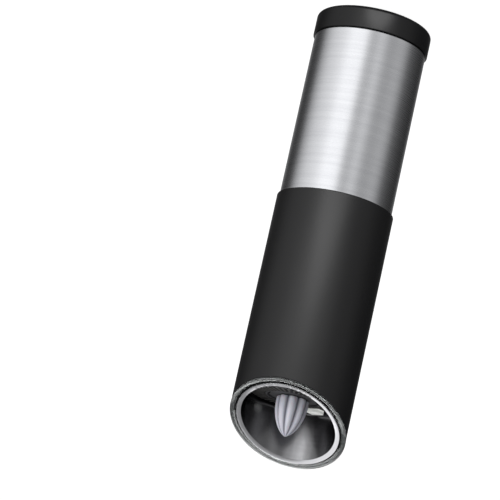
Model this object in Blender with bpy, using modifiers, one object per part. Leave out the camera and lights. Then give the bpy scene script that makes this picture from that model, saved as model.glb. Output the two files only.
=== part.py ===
"""Battery pepper mill that switches itself on when it is turned over.

It stands on its end cap with the slanted grinding mouth up: +Z runs from the cap to the mouth, and the
origin is the middle of the cap's flat face. The mouth's tall wall is at +Y and its low lip at -Y.
Sizes are in millimetres and angles in degrees; the helpers turn them into Blender's metres and radians.
"""
import bmesh
import bpy
from math import acos, cos, hypot, pi, radians, sin, tan
from mathutils import Matrix, Vector

MM = 0.001
GAP = 0.3                      # clearance between pieces that fit together

# ---------------------------------------------------------------- driving sizes
GRIP_R = 26.0                  # soft black sleeve of the grinder half
GRIP_WALL = 1.7
STEEL_R = 25.0                 # brushed sleeve of the motor half
STEEL_WALL = 0.5
CAP_R = 25.8                   # unscrewing end cap
CAP_H = 10.3
CAP_ROUND = 2.0
CAP_FLOOR = 2.5
CAP_SKIRT = 6.0                # threaded skirt above the cap's rim
SEAM_Z = 85.6                  # where steel and grip meet
MOUTH_Z = 184.8                # height of the mouth's cut on the axis
SLANT = 27.5                   # slope of the mouth's cut
RIM_PROUD = 0.1                # clear rim beyond the grip
RIM_T = 0.6                    # clear rim's height
BARREL_WALL = 2.0
LINER_WALL = 0.5
LINER_ROUND = 1.9
LIP_R = 23.1                   # the lining's rolled lip, on the barrel's end
LIP_T = 0.6
FLOOR_Z = 173.4                # mouth floor
CHASSIS_WALL = 1.6
CELL_R = 5.25                  # AAA cell
CELL_LENGTH = 44.5
CELL_PITCH_R = 15.0
CELLS = 6
MOTOR_R = 12.0
MOTOR_LENGTH = 19.7
END_BELL = 3.4
BULKHEAD_Z = 62.0
BULKHEAD = 2.0
SPIGOT_CLEARANCE = 0.5         # spigot inside the barrel, closed by the seal ring
SPIGOT_WALL = 1.6
COLLAR_H = 15.1                # grip's overlap on the motor housing
GEARBOX_WALL = 4.5             # ring gear's wall outside its tooth roots
SUN_TEETH = 12
PLANET_TEETH = 18
RING_TEETH = SUN_TEETH + 2 * PLANET_TEETH
PLANETS = 3
PRESSURE_ANGLE = 20.0
ADDENDUM = 0.85                # in modules
DEDENDUM = 1.1
BACKLASH = 0.12
GEAR_FACE = 3.6
PIN_R = 1.2
PLATE_T = 1.5
SHAFT_R = 2.9                  # drive shaft, over its corners
THREAD_R = 2.1
HUB_R = 4.8
BURR_R = 13.6                  # burr ring, outside
BURR_WALL = 2.3                # ring's wall at the exit
BURR_THROAT_WALL = 3.7
BURR_INLET_WALL = 2.0
BURR_H = 16.1
BURR_GAP = 0.6                 # milling gap at the exit
ROTOR_H = 13.0
ROTOR_INLET_R = 5.6
RING_RIDGES = 24
ROTOR_RIDGES = 12
RIDGE = 0.5
KNOB_R = 7.1
KNOB_H = 16.9
KNOB_FLUTES = 8
KNOB_BORE_H = 10.7
KNOB_FLUTE = 0.13              # depth of the flutes, as a share of the radius
KNOB_TURN = -15.3              # how far the knob is turned at rest
WINDOW = (6.4, 4.0, 4.3)       # light window: along the wall, towards it, height
WINDOW_ANGLE = 114.6
WINDOW_R = 16.6
LAMP_R = 1.5
BALL_R = 1.6
BALL_TRAVEL = 4.0
CUT = 1.0                      # how far a cutting tool runs past the surface it opens

# ---------------------------------------------------------------- sizes that follow
GRIP_IN = GRIP_R - GRIP_WALL
BARREL_R = GRIP_IN - GAP
BARREL_IN = BARREL_R - BARREL_WALL
RIM_R = GRIP_R + RIM_PROUD
LINER_R = BARREL_IN - GAP
LINER_IN = LINER_R - LINER_WALL
STEEL_IN = STEEL_R - STEEL_WALL
CHASSIS_R = STEEL_IN - GAP
CHASSIS_IN = CHASSIS_R - CHASSIS_WALL
SKIRT_R = CHASSIS_IN - GAP
SKIRT_WALL = 1.7
SKIRT_IN = SKIRT_R - SKIRT_WALL
STEEL_Z = CAP_H + GAP
HOUSING_Z = BULKHEAD_Z + BULKHEAD + GAP
COLLAR_R = BARREL_R
SHOULDER_Z = SEAM_Z + COLLAR_H
BARREL_Z = SHOULDER_Z + GAP
SPIGOT_R = BARREL_IN - SPIGOT_CLEARANCE
SPIGOT_IN = SPIGOT_R - SPIGOT_WALL
HOUSING_SKIN = 2.0
CAVITY_R = min(COLLAR_R, CHASSIS_R) - HOUSING_SKIN
GEARBOX_R = SPIGOT_IN - GAP
MODULE = (GEARBOX_R - GEARBOX_WALL) / (RING_TEETH / 2 + DEDENDUM)
PLANET_PITCH_R = MODULE * (SUN_TEETH + PLANET_TEETH) / 2
END_BELL_Z = HOUSING_Z + GAP
MOTOR_Z = END_BELL_Z + END_BELL + GAP
MOTOR_TOP = MOTOR_Z + MOTOR_LENGTH
BASE_Z = MOTOR_TOP + GAP
GEAR_Z = BASE_Z + PLATE_T + GAP
FIRST_PLATE_Z = GEAR_Z + GEAR_FACE + GAP
SECOND_GEAR_Z = FIRST_PLATE_Z + PLATE_T + GAP
OUTPUT_PLATE_Z = SECOND_GEAR_Z + GEAR_FACE + GAP
COVER_Z = OUTPUT_PLATE_Z + PLATE_T + GAP
SCREW_R = 1.0
SCREW_HEAD_R = 1.9
SCREW_HEAD_T = 1.0
SCREW_MARGIN = 0.5
SCREW_PITCH_R = GEARBOX_R - SCREW_HEAD_R - SCREW_MARGIN
HEAD_Z = COVER_Z + PLATE_T + GAP
FLOOR_PLATE_Z = HEAD_Z + SCREW_HEAD_T + GAP
FLOOR_PLATE_T = 1.8
SPIGOT_LIP_Z = FLOOR_PLATE_Z + FLOOR_PLATE_T + GAP
SEAL_R = 0.75
SEAL_BELOW = 1.5               # spigot below the seal's middle
SEAL_ABOVE = 2.0               # and above it
SEAL_Z = SPIGOT_LIP_Z + SEAL_BELOW
SPIGOT_TOP = SEAL_Z + SEAL_ABOVE
SOCKET_FLOOR = 1.6
HUB_PROUD = 2.0
SOCKET_Z = FLOOR_PLATE_Z + SOCKET_FLOOR
SOCKET_TOP = SPIGOT_TOP + HUB_PROUD
BUSH_WALL = 1.5
BUSH_R = HUB_R + GAP + BUSH_WALL
BURR_Z = FLOOR_Z - BURR_H
BURR_STEP = 1.3                # shoulder under the mouth floor
BURR_NOSE_H = 3.0
BURR_NOSE_R = BURR_R - BURR_STEP
BURR_SHOULDER_Z = FLOOR_Z - BURR_NOSE_H
PLATE_UNDER_Z = BURR_SHOULDER_Z + GAP
POCKET_IN = BURR_R + GAP
POCKET_WALL = 1.3
POCKET_R = POCKET_IN + POCKET_WALL
HOUSING_WALL = 1.8
FLOOR_BOSS_R = LINER_IN - LINER_ROUND - GAP
LINER_FLOOR_Z = FLOOR_Z - LINER_WALL
BURR_SKIRT = 4.3               # housing wall below the burr ring
BURR_WALL_Z = BURR_Z - BURR_SKIRT
RETAINER_R = LINER_R - HOUSING_WALL - GAP
RETAINER_T = 2.5
RETAINER_Z = BURR_Z - GAP - RETAINER_T
SHAFT_BUSH_IN = SHAFT_R + GAP
SHAFT_BUSH_WALL = 1.2
SHAFT_BUSH_R = SHAFT_BUSH_IN + SHAFT_BUSH_WALL
ROTOR_SUNK = 0.4               # rotor below the mouth floor
ROTOR_Z = FLOOR_Z - ROTOR_SUNK - ROTOR_H
ROTOR_TOP = ROTOR_Z + ROTOR_H
BURR_EXIT_R = BURR_R - BURR_WALL
BURR_THROAT_R = BURR_R - BURR_THROAT_WALL
BURR_INLET_R = BURR_R - BURR_INLET_WALL
ROTOR_R = BURR_EXIT_R - BURR_GAP
SPRING_SEAT = 6.0
SPRING_PLAY = 1.0
SEAT_PLAY = 0.5
SPRING_R = SHAFT_R + SPRING_PLAY
SPRING_WIRE = 0.4              # radius of the wire
SPRING_SEAT_R = SPRING_R + SPRING_WIRE + SEAT_PLAY
SPRING_TURNS = 3
KNOB_Z = ROTOR_TOP + GAP
BORE_END_Z = KNOB_Z + KNOB_BORE_H
RIM_RISE = tan(radians(SLANT)) * RIM_R
ABOVE_RIM = 4.0                # stock above the rim that the slanted cut removes
OVERHEIGHT = MOUTH_Z + RIM_RISE + ABOVE_RIM
FACETS = 40                    # sides on the large turned pieces
FINE = 20                      # sides on the middling ones
SMALL = 12                     # sides on pins, posts and screws


# ---------------------------------------------------------------- scene and helpers
for old in list(bpy.data.objects):
    bpy.data.objects.remove(old, do_unlink=True)

model = bpy.data.collections.new("pepper_mill")
tools = bpy.data.collections.new("cutters")
for group in (model, tools):
    bpy.context.scene.collection.children.link(group)


def material(name, colour, roughness, metallic=0.0):
    made = bpy.data.materials.new(name)
    made.use_nodes = True
    shader = made.node_tree.nodes["Principled BSDF"]
    shader.inputs["Base Color"].default_value = (*colour, 1.0)
    shader.inputs["Roughness"].default_value = roughness
    shader.inputs["Metallic"].default_value = metallic
    return made


STEEL = material("brushed_steel", (0.56, 0.56, 0.57), 0.28, 1.0)
PLAIN_STEEL = material("plain_steel", (0.50, 0.50, 0.52), 0.35, 1.0)
GRIP = material("soft_touch_black", (0.018, 0.018, 0.019), 0.55)
BLACK = material("satin_black_abs", (0.012, 0.012, 0.013), 0.38)
GREY = material("grey_abs", (0.18, 0.18, 0.19), 0.50)
CLEAR = material("clear_acrylic", (0.80, 0.82, 0.82), 0.08)
CERAMIC = material("grey_ceramic", (0.10, 0.10, 0.105), 0.40)
KNOB = material("grey_acetal", (0.55, 0.55, 0.62), 0.32)
GEAR = material("white_acetal", (0.70, 0.70, 0.66), 0.40)
RUBBER = material("black_rubber", (0.015, 0.015, 0.015), 0.70)
FOAM = material("grey_foam", (0.10, 0.10, 0.11), 0.90)
BOARD = material("green_board", (0.02, 0.12, 0.05), 0.45)
BRASS = material("brass", (0.60, 0.42, 0.16), 0.35, 1.0)
CELL = material("cell_jacket", (0.08, 0.16, 0.30), 0.35)

bodies = {}


def body(name):
    """The empty that the pieces of one moving body hang from."""
    if name not in bodies:
        bodies[name] = bpy.data.objects.new(name + "_body", None)
        model.objects.link(bodies[name])
    return bodies[name]


def place(name, mesh, finish=None, home=None, at=(0.0, 0.0, 0.0), turn=0.0):
    """Link a mesh as a named piece of a body, or as a tool when it has no finish."""
    made = bpy.data.objects.new(name, mesh)
    made.location = Vector(at) * MM
    made.rotation_euler.z = radians(turn)
    if finish is None:
        tools.objects.link(made)
        made.hide_render = True
        made.display_type = "WIRE"
        return made
    model.objects.link(made)
    made.parent = body(home)
    if not mesh.materials:
        mesh.materials.append(finish)
    return made


def turned(name, profile, finish=None, home=None, steps=FINE, **where):
    """Solid of revolution whose profile runs down the outer side and back up the bore."""
    mesh = bpy.data.meshes.new(name)
    edges = [(i, i + 1) for i in range(len(profile) - 1)]
    if profile[0][0] > 0:
        edges.append((len(profile) - 1, 0))
    mesh.from_pydata([(r * MM, 0.0, z * MM) for r, z in profile], edges, [])
    made = place(name, mesh, finish, home, **where)
    screw = made.modifiers.new("turn", "SCREW")
    screw.steps = screw.render_steps = steps
    screw.use_merge_vertices = True
    screw.merge_threshold = 0.00001
    return made


def tube(inner, outer, low, high):
    return [(outer, high), (outer, low), (inner, low), (inner, high)]


def rod(radius, low, high):
    return [(0.0, high), (radius, high), (radius, low), (0.0, low)]


def arc(centre_r, centre_z, radius, start, end, count=4):
    """Points of a round corner in a profile, from one angle to another."""
    angles = [radians(start + (end - start) * i / (count - 1)) for i in range(count)]
    return [(centre_r + radius * cos(a), centre_z + radius * sin(a)) for a in angles]


def rods(name, radius, low, high, places, steps=SMALL, finish=None, home=None, turn=0.0):
    """One mesh of upright cylinders at the given places."""
    shape = bmesh.new()
    for x, y in places:
        middle = Matrix.Translation(Vector((x, y, (low + high) / 2)) * MM)
        spin = Matrix.Rotation(radians(turn), 4, "Z")
        bmesh.ops.create_cone(shape, cap_ends=True, segments=steps, radius1=radius * MM,
                              radius2=radius * MM, depth=(high - low) * MM, matrix=middle @ spin)
    mesh = bpy.data.meshes.new(name)
    shape.to_mesh(mesh)
    shape.free()
    return place(name, mesh, finish, home)


def block(name, size, middle, finish=None, home=None, turn=0.0, tilt=0.0, about=(0.0, 0.0, 0.0)):
    """Box of a size about a middle point, turned about Z or tilted about X at a given point."""
    shape = bmesh.new()
    bmesh.ops.create_cube(shape, size=MM)
    bmesh.ops.scale(shape, vec=size, verts=shape.verts)
    bmesh.ops.translate(shape, vec=Vector(middle) * MM, verts=shape.verts)
    pivot = Vector(about) * MM
    spin = Matrix.Rotation(radians(turn), 3, "Z") @ Matrix.Rotation(radians(tilt), 3, "X")
    bmesh.ops.rotate(shape, cent=pivot, matrix=spin, verts=shape.verts)
    mesh = bpy.data.meshes.new(name)
    shape.to_mesh(mesh)
    shape.free()
    return place(name, mesh, finish, home)


def boolean(piece, operation, tool):
    step = piece.modifiers.new(operation.lower(), "BOOLEAN")
    step.operation = operation
    step.object = tool


def ring_of(radius, count, start=0.0):
    """Places spaced evenly on a circle."""
    angles = [radians(start + 360.0 * i / count) for i in range(count)]
    return [(radius * cos(a), radius * sin(a)) for a in angles]


def slant_tool(name, height, above=True):
    """Large block whose one face is the mouth's slanted plane at a height on the axis."""
    size = 120.0
    side = size / 2 if above else -size / 2
    return block(name, (size, size, size), (0.0, 0.0, height + side), tilt=SLANT, about=(0.0, 0.0, height))


def flat_part(name, outlines, low, high, finish=None, home=None, **where):
    """Flat outline, with its holes, raised to a thickness as a welded mesh."""
    curve = bpy.data.curves.new(name, "CURVE")
    curve.dimensions = "2D"
    curve.fill_mode = "BOTH"
    curve.extrude = (high - low) / 2 * MM
    for outline in outlines:
        spline = curve.splines.new("POLY")
        spline.points.add(len(outline) - 1)
        for point, (x, y) in zip(spline.points, outline):
            point.co = (x * MM, y * MM, 0.0, 1.0)
        spline.use_cyclic_u = True
    drawn = bpy.data.objects.new(name + "_outline", curve)
    tools.objects.link(drawn)
    mesh = bpy.data.meshes.new_from_object(drawn.evaluated_get(bpy.context.evaluated_depsgraph_get()))
    bpy.data.objects.remove(drawn, do_unlink=True)
    shape = bmesh.new()
    shape.from_mesh(mesh)
    bmesh.ops.remove_doubles(shape, verts=shape.verts, dist=0.000001)
    bmesh.ops.translate(shape, vec=(0.0, 0.0, (low + high) / 2 * MM), verts=shape.verts)
    bmesh.ops.recalc_face_normals(shape, faces=shape.faces)
    shape.to_mesh(mesh)
    shape.free()
    mesh.name = name
    mesh.materials.clear()
    return place(name, mesh, finish, home, **where)


def reshaped(piece, move):
    """Fix a piece's modifiers into its mesh and move each point by a rule on (radius, angle, z) in mm."""
    mesh = bpy.data.meshes.new_from_object(piece.evaluated_get(bpy.context.evaluated_depsgraph_get()))
    piece.modifiers.clear()
    piece.data = mesh
    for vertex in mesh.vertices:
        radius = hypot(vertex.co.x, vertex.co.y) / MM
        if radius > 0.01:
            angle = Vector((vertex.co.x, vertex.co.y)).angle_signed(Vector((1.0, 0.0)))
            scale = move(radius, angle, vertex.co.z / MM) / radius
            vertex.co.x *= scale
            vertex.co.y *= scale
    return piece


def involute(angle):
    return tan(angle) - angle


def gear_outline(teeth, inside=False):
    """Outline of an involute gear with a tooth on +X; inside gives a ring gear's teeth."""
    pressure = radians(PRESSURE_ANGLE)
    pitch_r = MODULE * teeth / 2
    base_r = pitch_r * cos(pressure)
    if inside:
        levels = (pitch_r - ADDENDUM * MODULE, pitch_r + DEDENDUM * MODULE)
    else:
        levels = (pitch_r - DEDENDUM * MODULE, pitch_r + ADDENDUM * MODULE)

    def half_angle(radius):
        roll = involute(acos(min(1.0, base_r / radius)))
        width = pi / (2 * teeth) + involute(pressure) - roll
        play = BACKLASH / 2 / pitch_r
        return pi / teeth - width - play if inside else width - play

    points = []
    for tooth in range(teeth):
        middle = 2 * pi * tooth / teeth
        root, tip = reversed(levels) if inside else levels
        for radius, side in ((root, -1), (tip, -1), (tip, 1), (root, 1)):
            angle = middle + side * half_angle(radius)
            points.append((radius * cos(angle), radius * sin(angle)))
    return points


def circle(radius, middle=(0.0, 0.0), count=FINE):
    return [(middle[0] + x, middle[1] + y) for x, y in ring_of(radius, count)]


# ---------------------------------------------------------------- end cap and batteries
turned("end_cap",
       [(0.0, CAP_FLOOR), (SKIRT_IN, CAP_FLOOR), (SKIRT_IN, CAP_H + CAP_SKIRT), (SKIRT_R, CAP_H + CAP_SKIRT),
        (SKIRT_R, CAP_H), (CAP_R, CAP_H)]
       + arc(CAP_R - CAP_ROUND, CAP_ROUND, CAP_ROUND, 0, -90) + [(0.0, 0.0)],
       BLACK, "end_cap", FACETS)
PAD_Z = CAP_FLOOR + GAP
PAD_T = 2.0
turned("cap_pad", rod(CELL_PITCH_R, PAD_Z, PAD_Z + PAD_T), FOAM, "end_cap")

HOLDER_FACETS = 30
HOLDER_Z = PAD_Z + PAD_T + GAP
HOLDER_PLATE = 2.0
HOLDER_PLAY = 0.4
CELL_PLAY = 0.35
HOLDER_R = SKIRT_IN - HOLDER_PLAY
POST_R = CELL_PITCH_R - CELL_R - CELL_PLAY
POST_WALL = 1.5
BRIDGE_Z = HOLDER_Z + HOLDER_PLATE + GAP
BRIDGE_T = 0.6
BUMP_H = 1.7
CELL_Z = BRIDGE_Z + BRIDGE_T + BUMP_H + GAP
CELL_TOP = CELL_Z + CELL_LENGTH
LINK_BUMP_H = 0.8
LINK_Z = CELL_TOP + GAP + LINK_BUMP_H
HOLDER_TOP_Z = LINK_Z + BRIDGE_T + GAP
HOLDER_END = HOLDER_TOP_Z + HOLDER_PLATE
holder = turned("battery_holder",
                [(HOLDER_R, HOLDER_END), (HOLDER_R, HOLDER_TOP_Z), (POST_R, HOLDER_TOP_Z),
                 (POST_R, HOLDER_Z + HOLDER_PLATE), (HOLDER_R, HOLDER_Z + HOLDER_PLATE), (HOLDER_R, HOLDER_Z),
                 (POST_R - POST_WALL, HOLDER_Z), (POST_R - POST_WALL, HOLDER_END)],
                BLACK, "battery_pack", HOLDER_FACETS)
cell_places = ring_of(CELL_PITCH_R, CELLS)
CONTACT_R = 1.6
SUPPLY_HOLE_R = 2.2
boolean(holder, "DIFFERENCE", rods("supply_holes", SUPPLY_HOLE_R, HOLDER_TOP_Z - CUT, HOLDER_END + CUT,
                                   (cell_places[0], cell_places[-1])))

NUB_R = 1.9
NUB_H = 0.8
for number, (x, y) in enumerate(cell_places):
    if number % 2:
        outline = [(0.0, CELL_TOP), (CELL_R, CELL_TOP), (CELL_R, CELL_Z + NUB_H),
                   (NUB_R, CELL_Z + NUB_H), (NUB_R, CELL_Z), (0.0, CELL_Z)]
    else:
        outline = [(0.0, CELL_TOP), (NUB_R, CELL_TOP), (NUB_R, CELL_TOP - NUB_H),
                   (CELL_R, CELL_TOP - NUB_H), (CELL_R, CELL_Z), (0.0, CELL_Z)]
    turned(f"cell_{number + 1}", outline, CELL, "battery_pack", SMALL, at=(x, y, 0.0))


STRIP_W = 3.6
STRIP_END = 2.0                # strip beyond each cell's middle
BUMP_R = 1.3
BUMP_ROOT = 0.2                # bump's foot inside the strip


def cell_contact(name, first, second, low, bump_down):
    """Strip that joins two neighbouring cells, with a bump at each."""
    (x1, y1), (x2, y2) = cell_places[first], cell_places[second]
    middle_angle = (first + second) * 180.0 / CELLS
    middle_r = hypot((x1 + x2) / 2, (y1 + y2) / 2)
    length = hypot(x2 - x1, y2 - y1) + 2 * STRIP_END
    top = low + BRIDGE_T
    strip = block(name, (STRIP_W, length, BRIDGE_T), (middle_r, 0.0, low + BRIDGE_T / 2),
                  BRASS, "battery_pack", turn=middle_angle)
    if bump_down:
        bump_low, bump_high = low - LINK_BUMP_H, low + BUMP_ROOT
    else:
        bump_low, bump_high = top - BUMP_ROOT, top + BUMP_H
    boolean(strip, "UNION", rods(name + "_bumps", BUMP_R, bump_low, bump_high, ((x1, y1), (x2, y2))))


for number in range(3):
    cell_contact(f"lower_contact_{number + 1}", 2 * number, 2 * number + 1, BRIDGE_Z, False)
for number in range(2):
    cell_contact(f"upper_contact_{number + 1}", 2 * number + 1, 2 * number + 2, LINK_Z, True)

# ---------------------------------------------------------------- motor half: sleeve, chassis, housing
turned("steel_sleeve", tube(STEEL_IN, STEEL_R, STEEL_Z, SEAM_Z - GAP), STEEL, "motor_module", FACETS)
chassis = turned("chassis",
                 [(0.0, HOUSING_Z - GAP), (CHASSIS_R, HOUSING_Z - GAP), (CHASSIS_R, STEEL_Z),
                  (CHASSIS_IN, STEEL_Z), (CHASSIS_IN, BULKHEAD_Z), (0.0, BULKHEAD_Z)],
                 BLACK, "motor_module", FACETS)
WIRE_HOLE_R = 1.5
WIRE_HOLE_PITCH_R = 18.0
boolean(chassis, "DIFFERENCE", rods("wire_holes", WIRE_HOLE_R, BULKHEAD_Z - CUT, HOUSING_Z + CUT,
                                    ring_of(WIRE_HOLE_PITCH_R, 2, 90.0)))
CONTACT_HEAD_R = CONTACT_R + 2.0
CONTACT_HEAD_T = 0.6
CONTACT_Z = BULKHEAD_Z - GAP
for number, (x, y) in enumerate((cell_places[0], cell_places[-1])):
    turned(f"supply_contact_{number + 1}",
           [(0.0, CONTACT_Z), (CONTACT_HEAD_R, CONTACT_Z), (CONTACT_HEAD_R, CONTACT_Z - CONTACT_HEAD_T),
            (CONTACT_R, CONTACT_Z - CONTACT_HEAD_T), (CONTACT_R, CELL_TOP + GAP), (0.0, CELL_TOP + GAP)],
           BRASS, "motor_module", SMALL, at=(x, y, 0.0))

SEAL_PROUD = 0.2               # seal beyond the spigot
GROOVE_R = SPIGOT_R - SEAL_R * 2 - 0.1
GROOVE_HALF = SEAL_R + GAP
SPIGOT_LIP = 2.4
SPIGOT_LIP_R = SPIGOT_IN - SPIGOT_LIP
CAVITY_CONE_H = 1.5            # height of each step of the cavity's cone
housing = turned("motor_housing",
                 [(SPIGOT_R, SPIGOT_TOP), (SPIGOT_R, SEAL_Z + GROOVE_HALF), (GROOVE_R, SEAL_Z + GROOVE_HALF),
                  (GROOVE_R, SEAL_Z - GROOVE_HALF), (SPIGOT_R, SEAL_Z - GROOVE_HALF), (SPIGOT_R, SHOULDER_Z),
                  (COLLAR_R, SHOULDER_Z), (COLLAR_R, SEAM_Z + GAP), (CHASSIS_R, SEAM_Z - GAP),
                  (CHASSIS_R, HOUSING_Z), (CAVITY_R, HOUSING_Z), (CAVITY_R, SHOULDER_Z - 2 * CAVITY_CONE_H),
                  (SPIGOT_IN, SHOULDER_Z - CAVITY_CONE_H), (SPIGOT_IN, SPIGOT_LIP_Z),
                  (SPIGOT_LIP_R, SPIGOT_LIP_Z), (SPIGOT_LIP_R, SPIGOT_TOP)], BLACK, "motor_module", FACETS)
KEY = (BARREL_WALL - 2 * GAP, 2.4, 3.0)
KEYS = 3
KEY_R = (BARREL_R + BARREL_IN) / 2
KEY_Z = SHOULDER_Z + KEY[2] / 2 - 0.2
for number in range(KEYS):
    turn = 360.0 * number / KEYS
    boolean(housing, "UNION", block(f"key_{number + 1}", KEY, (KEY_R, 0.0, KEY_Z), turn=turn))
SEAL_SIDES = 6
SEAL_FACETS = 28
seal = [(SPIGOT_R + SEAL_PROUD - SEAL_R + x, SEAL_Z + y) for x, y in ring_of(SEAL_R, SEAL_SIDES)]
turned("seal_ring", list(reversed(seal)), RUBBER, "motor_module", SEAL_FACETS)
HUB_PLAY = 1.2
turned("chamber_floor", tube(HUB_R + HUB_PLAY, GEARBOX_R, FLOOR_PLATE_Z, FLOOR_PLATE_Z + FLOOR_PLATE_T),
       BLACK, "motor_module", FACETS)

# ---------------------------------------------------------------- motor, board and tilt switch
CAN_WALL = 0.6
CAN_END = 1.0
SHAFT_PIN_R = 1.0
turned("motor_can",
       [(SHAFT_PIN_R + GAP, MOTOR_TOP), (MOTOR_R, MOTOR_TOP), (MOTOR_R, MOTOR_Z),
        (MOTOR_R - CAN_WALL, MOTOR_Z), (MOTOR_R - CAN_WALL, MOTOR_TOP - CAN_END),
        (SHAFT_PIN_R + GAP, MOTOR_TOP - CAN_END)], PLAIN_STEEL, "motor_module")
turned("motor_end_bell", rod(MOTOR_R - GAP, END_BELL_Z, END_BELL_Z + END_BELL), BLACK, "motor_module")
BOARD_RISE = 2.0
BOARD_Z = MOTOR_Z + BOARD_RISE
BOARD_T = 1.6
BOARD_IN = MOTOR_R + 0.6
BOARD_R = CAVITY_R - GAP
turned("control_board", tube(BOARD_IN, BOARD_R, BOARD_Z, BOARD_Z + BOARD_T), BOARD, "motor_module", FACETS)
SWITCH_AT = (0.0, -(BOARD_IN + BOARD_R) / 2, 0.0)
BALL_PLAY = 0.35
SWITCH_WALL = 0.5
SWITCH_IN = BALL_R + BALL_PLAY
SWITCH_R = SWITCH_IN + SWITCH_WALL
BASE_T = 1.2
SWITCH_Z = BOARD_Z + BOARD_T + GAP
CAN_Z = SWITCH_Z + BASE_T + GAP
BALL_Z = CAN_Z + BALL_R
CAN_TOP = BALL_Z + BALL_R + BALL_TRAVEL + 0.4
CAN_CROWN_Z = CAN_TOP + CAN_WALL
turned("tilt_switch_base", rod(SWITCH_R, SWITCH_Z, SWITCH_Z + BASE_T),
       BLACK, "motor_module", SMALL, at=SWITCH_AT)
turned("tilt_switch_can",
       [(0.0, CAN_CROWN_Z), (SWITCH_R, CAN_CROWN_Z), (SWITCH_R, CAN_Z), (SWITCH_IN, CAN_Z),
        (SWITCH_IN, CAN_TOP), (0.0, CAN_TOP)], PLAIN_STEEL, "motor_module", SMALL, at=SWITCH_AT)
ball_mesh = bpy.data.meshes.new("tilt_ball")
ball_shape = bmesh.new()
bmesh.ops.create_uvsphere(ball_shape, u_segments=SMALL, v_segments=6, radius=BALL_R * MM)
ball_shape.to_mesh(ball_mesh)
ball_shape.free()
place("tilt_ball", ball_mesh, PLAIN_STEEL, "tilt_ball", at=(SWITCH_AT[0], SWITCH_AT[1], BALL_Z))

# ---------------------------------------------------------------- two-stage planetary gearbox
PINION_BORE_R = MODULE * (SUN_TEETH / 2 + ADDENDUM) + GAP
screw_places = ring_of(SCREW_PITCH_R, 3, 60.0)
screw_holes = [circle(SCREW_R + GAP, place_xy, 8) for place_xy in screw_places]
flat_part("gearbox_base", [circle(GEARBOX_R, count=FACETS), circle(PINION_BORE_R)] + screw_holes,
          BASE_Z, BASE_Z + PLATE_T, GREY, "motor_module")
flat_part("ring_gear", [circle(GEARBOX_R, count=FACETS), gear_outline(RING_TEETH, inside=True)] + screw_holes,
          GEAR_Z, COVER_Z - GAP, GEAR, "motor_module")
flat_part("gearbox_cover", [circle(GEARBOX_R, count=FACETS), circle(BUSH_R + GAP)] + screw_holes,
          COVER_Z, COVER_Z + PLATE_T, GREY, "motor_module")
BUSH_PROUD = 1.0
turned("output_bush", tube(HUB_R + GAP, BUSH_R, COVER_Z, COVER_Z + PLATE_T + BUSH_PROUD),
       BRASS, "motor_module")
SCREW_Z = BASE_Z + 0.2
for number, (x, y) in enumerate(screw_places):
    turned(f"gearbox_screw_{number + 1}",
           [(0.0, HEAD_Z + SCREW_HEAD_T), (SCREW_HEAD_R, HEAD_Z + SCREW_HEAD_T), (SCREW_HEAD_R, HEAD_Z),
            (SCREW_R, HEAD_Z), (SCREW_R, SCREW_Z), (0.0, SCREW_Z)],
           PLAIN_STEEL, "motor_module", 8, at=(x, y, 0.0))

ROOT = 0.5                     # how far a pin or shaft is sunk into what it joins
SHAFT_IN_CAN = 4.0
pinion = flat_part("motor_shaft", [gear_outline(SUN_TEETH)], GEAR_Z, GEAR_Z + GEAR_FACE, BRASS, "motor_shaft")
boolean(pinion, "UNION", rods("pinion_shaft", SHAFT_PIN_R, MOTOR_TOP - SHAFT_IN_CAN, GEAR_Z + ROOT,
                              ((0.0, 0.0),)))


def planet_stage(stem, carrier, low):
    """Three planets of one stage, each on its own body and centred on its pin."""
    hole = circle(PIN_R + GAP, count=SMALL)
    for number, (x, y) in enumerate(ring_of(PLANET_PITCH_R, PLANETS)):
        half_tooth = 180.0 / PLANET_TEETH
        name = f"{stem}_{number + 1}"
        flat_part(name, [gear_outline(PLANET_TEETH), hole], low, low + GEAR_FACE, GEAR, name,
                  at=(x, y, 0.0), turn=half_tooth + 360.0 * number / PLANETS)
        body(name).parent = body(carrier)


CARRIER_EDGE = 1.6
CARRIER_R = PLANET_PITCH_R + PIN_R + CARRIER_EDGE
pin_places = ring_of(PLANET_PITCH_R, PLANETS)
first = turned("first_carrier", rod(CARRIER_R, FIRST_PLATE_Z, FIRST_PLATE_Z + PLATE_T), GEAR, "first_carrier")
boolean(first, "UNION", rods("first_pins", PIN_R, GEAR_Z, FIRST_PLATE_Z + ROOT, pin_places))
boolean(first, "UNION", flat_part("second_sun", [gear_outline(SUN_TEETH)], FIRST_PLATE_Z + 2 * ROOT,
                                  SECOND_GEAR_Z + GEAR_FACE - GAP))
planet_stage("first_planet", "first_carrier", GEAR_Z)

HEX = 6
output = turned("output_carrier",
                [(0.0, SOCKET_TOP), (HUB_R, SOCKET_TOP), (HUB_R, OUTPUT_PLATE_Z + PLATE_T),
                 (CARRIER_R, OUTPUT_PLATE_Z + PLATE_T), (CARRIER_R, OUTPUT_PLATE_Z), (0.0, OUTPUT_PLATE_Z)],
                GEAR, "output_carrier", FINE)
boolean(output, "UNION", rods("output_pins", PIN_R, SECOND_GEAR_Z, OUTPUT_PLATE_Z + ROOT, pin_places))
boolean(output, "DIFFERENCE", rods("hex_socket", SHAFT_R + GAP, SOCKET_Z, SOCKET_TOP + CUT,
                                   ((0.0, 0.0),), HEX))
planet_stage("second_planet", "output_carrier", SECOND_GEAR_Z)

# ---------------------------------------------------------------- grinder half: sleeve, barrel, lining
grip = turned("grip_sleeve", tube(GRIP_IN, GRIP_R, SEAM_Z, OVERHEIGHT), GRIP, "grinder_module", FACETS)
boolean(grip, "DIFFERENCE", slant_tool("grip_cut", MOUTH_Z - RIM_T - GAP))


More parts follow.
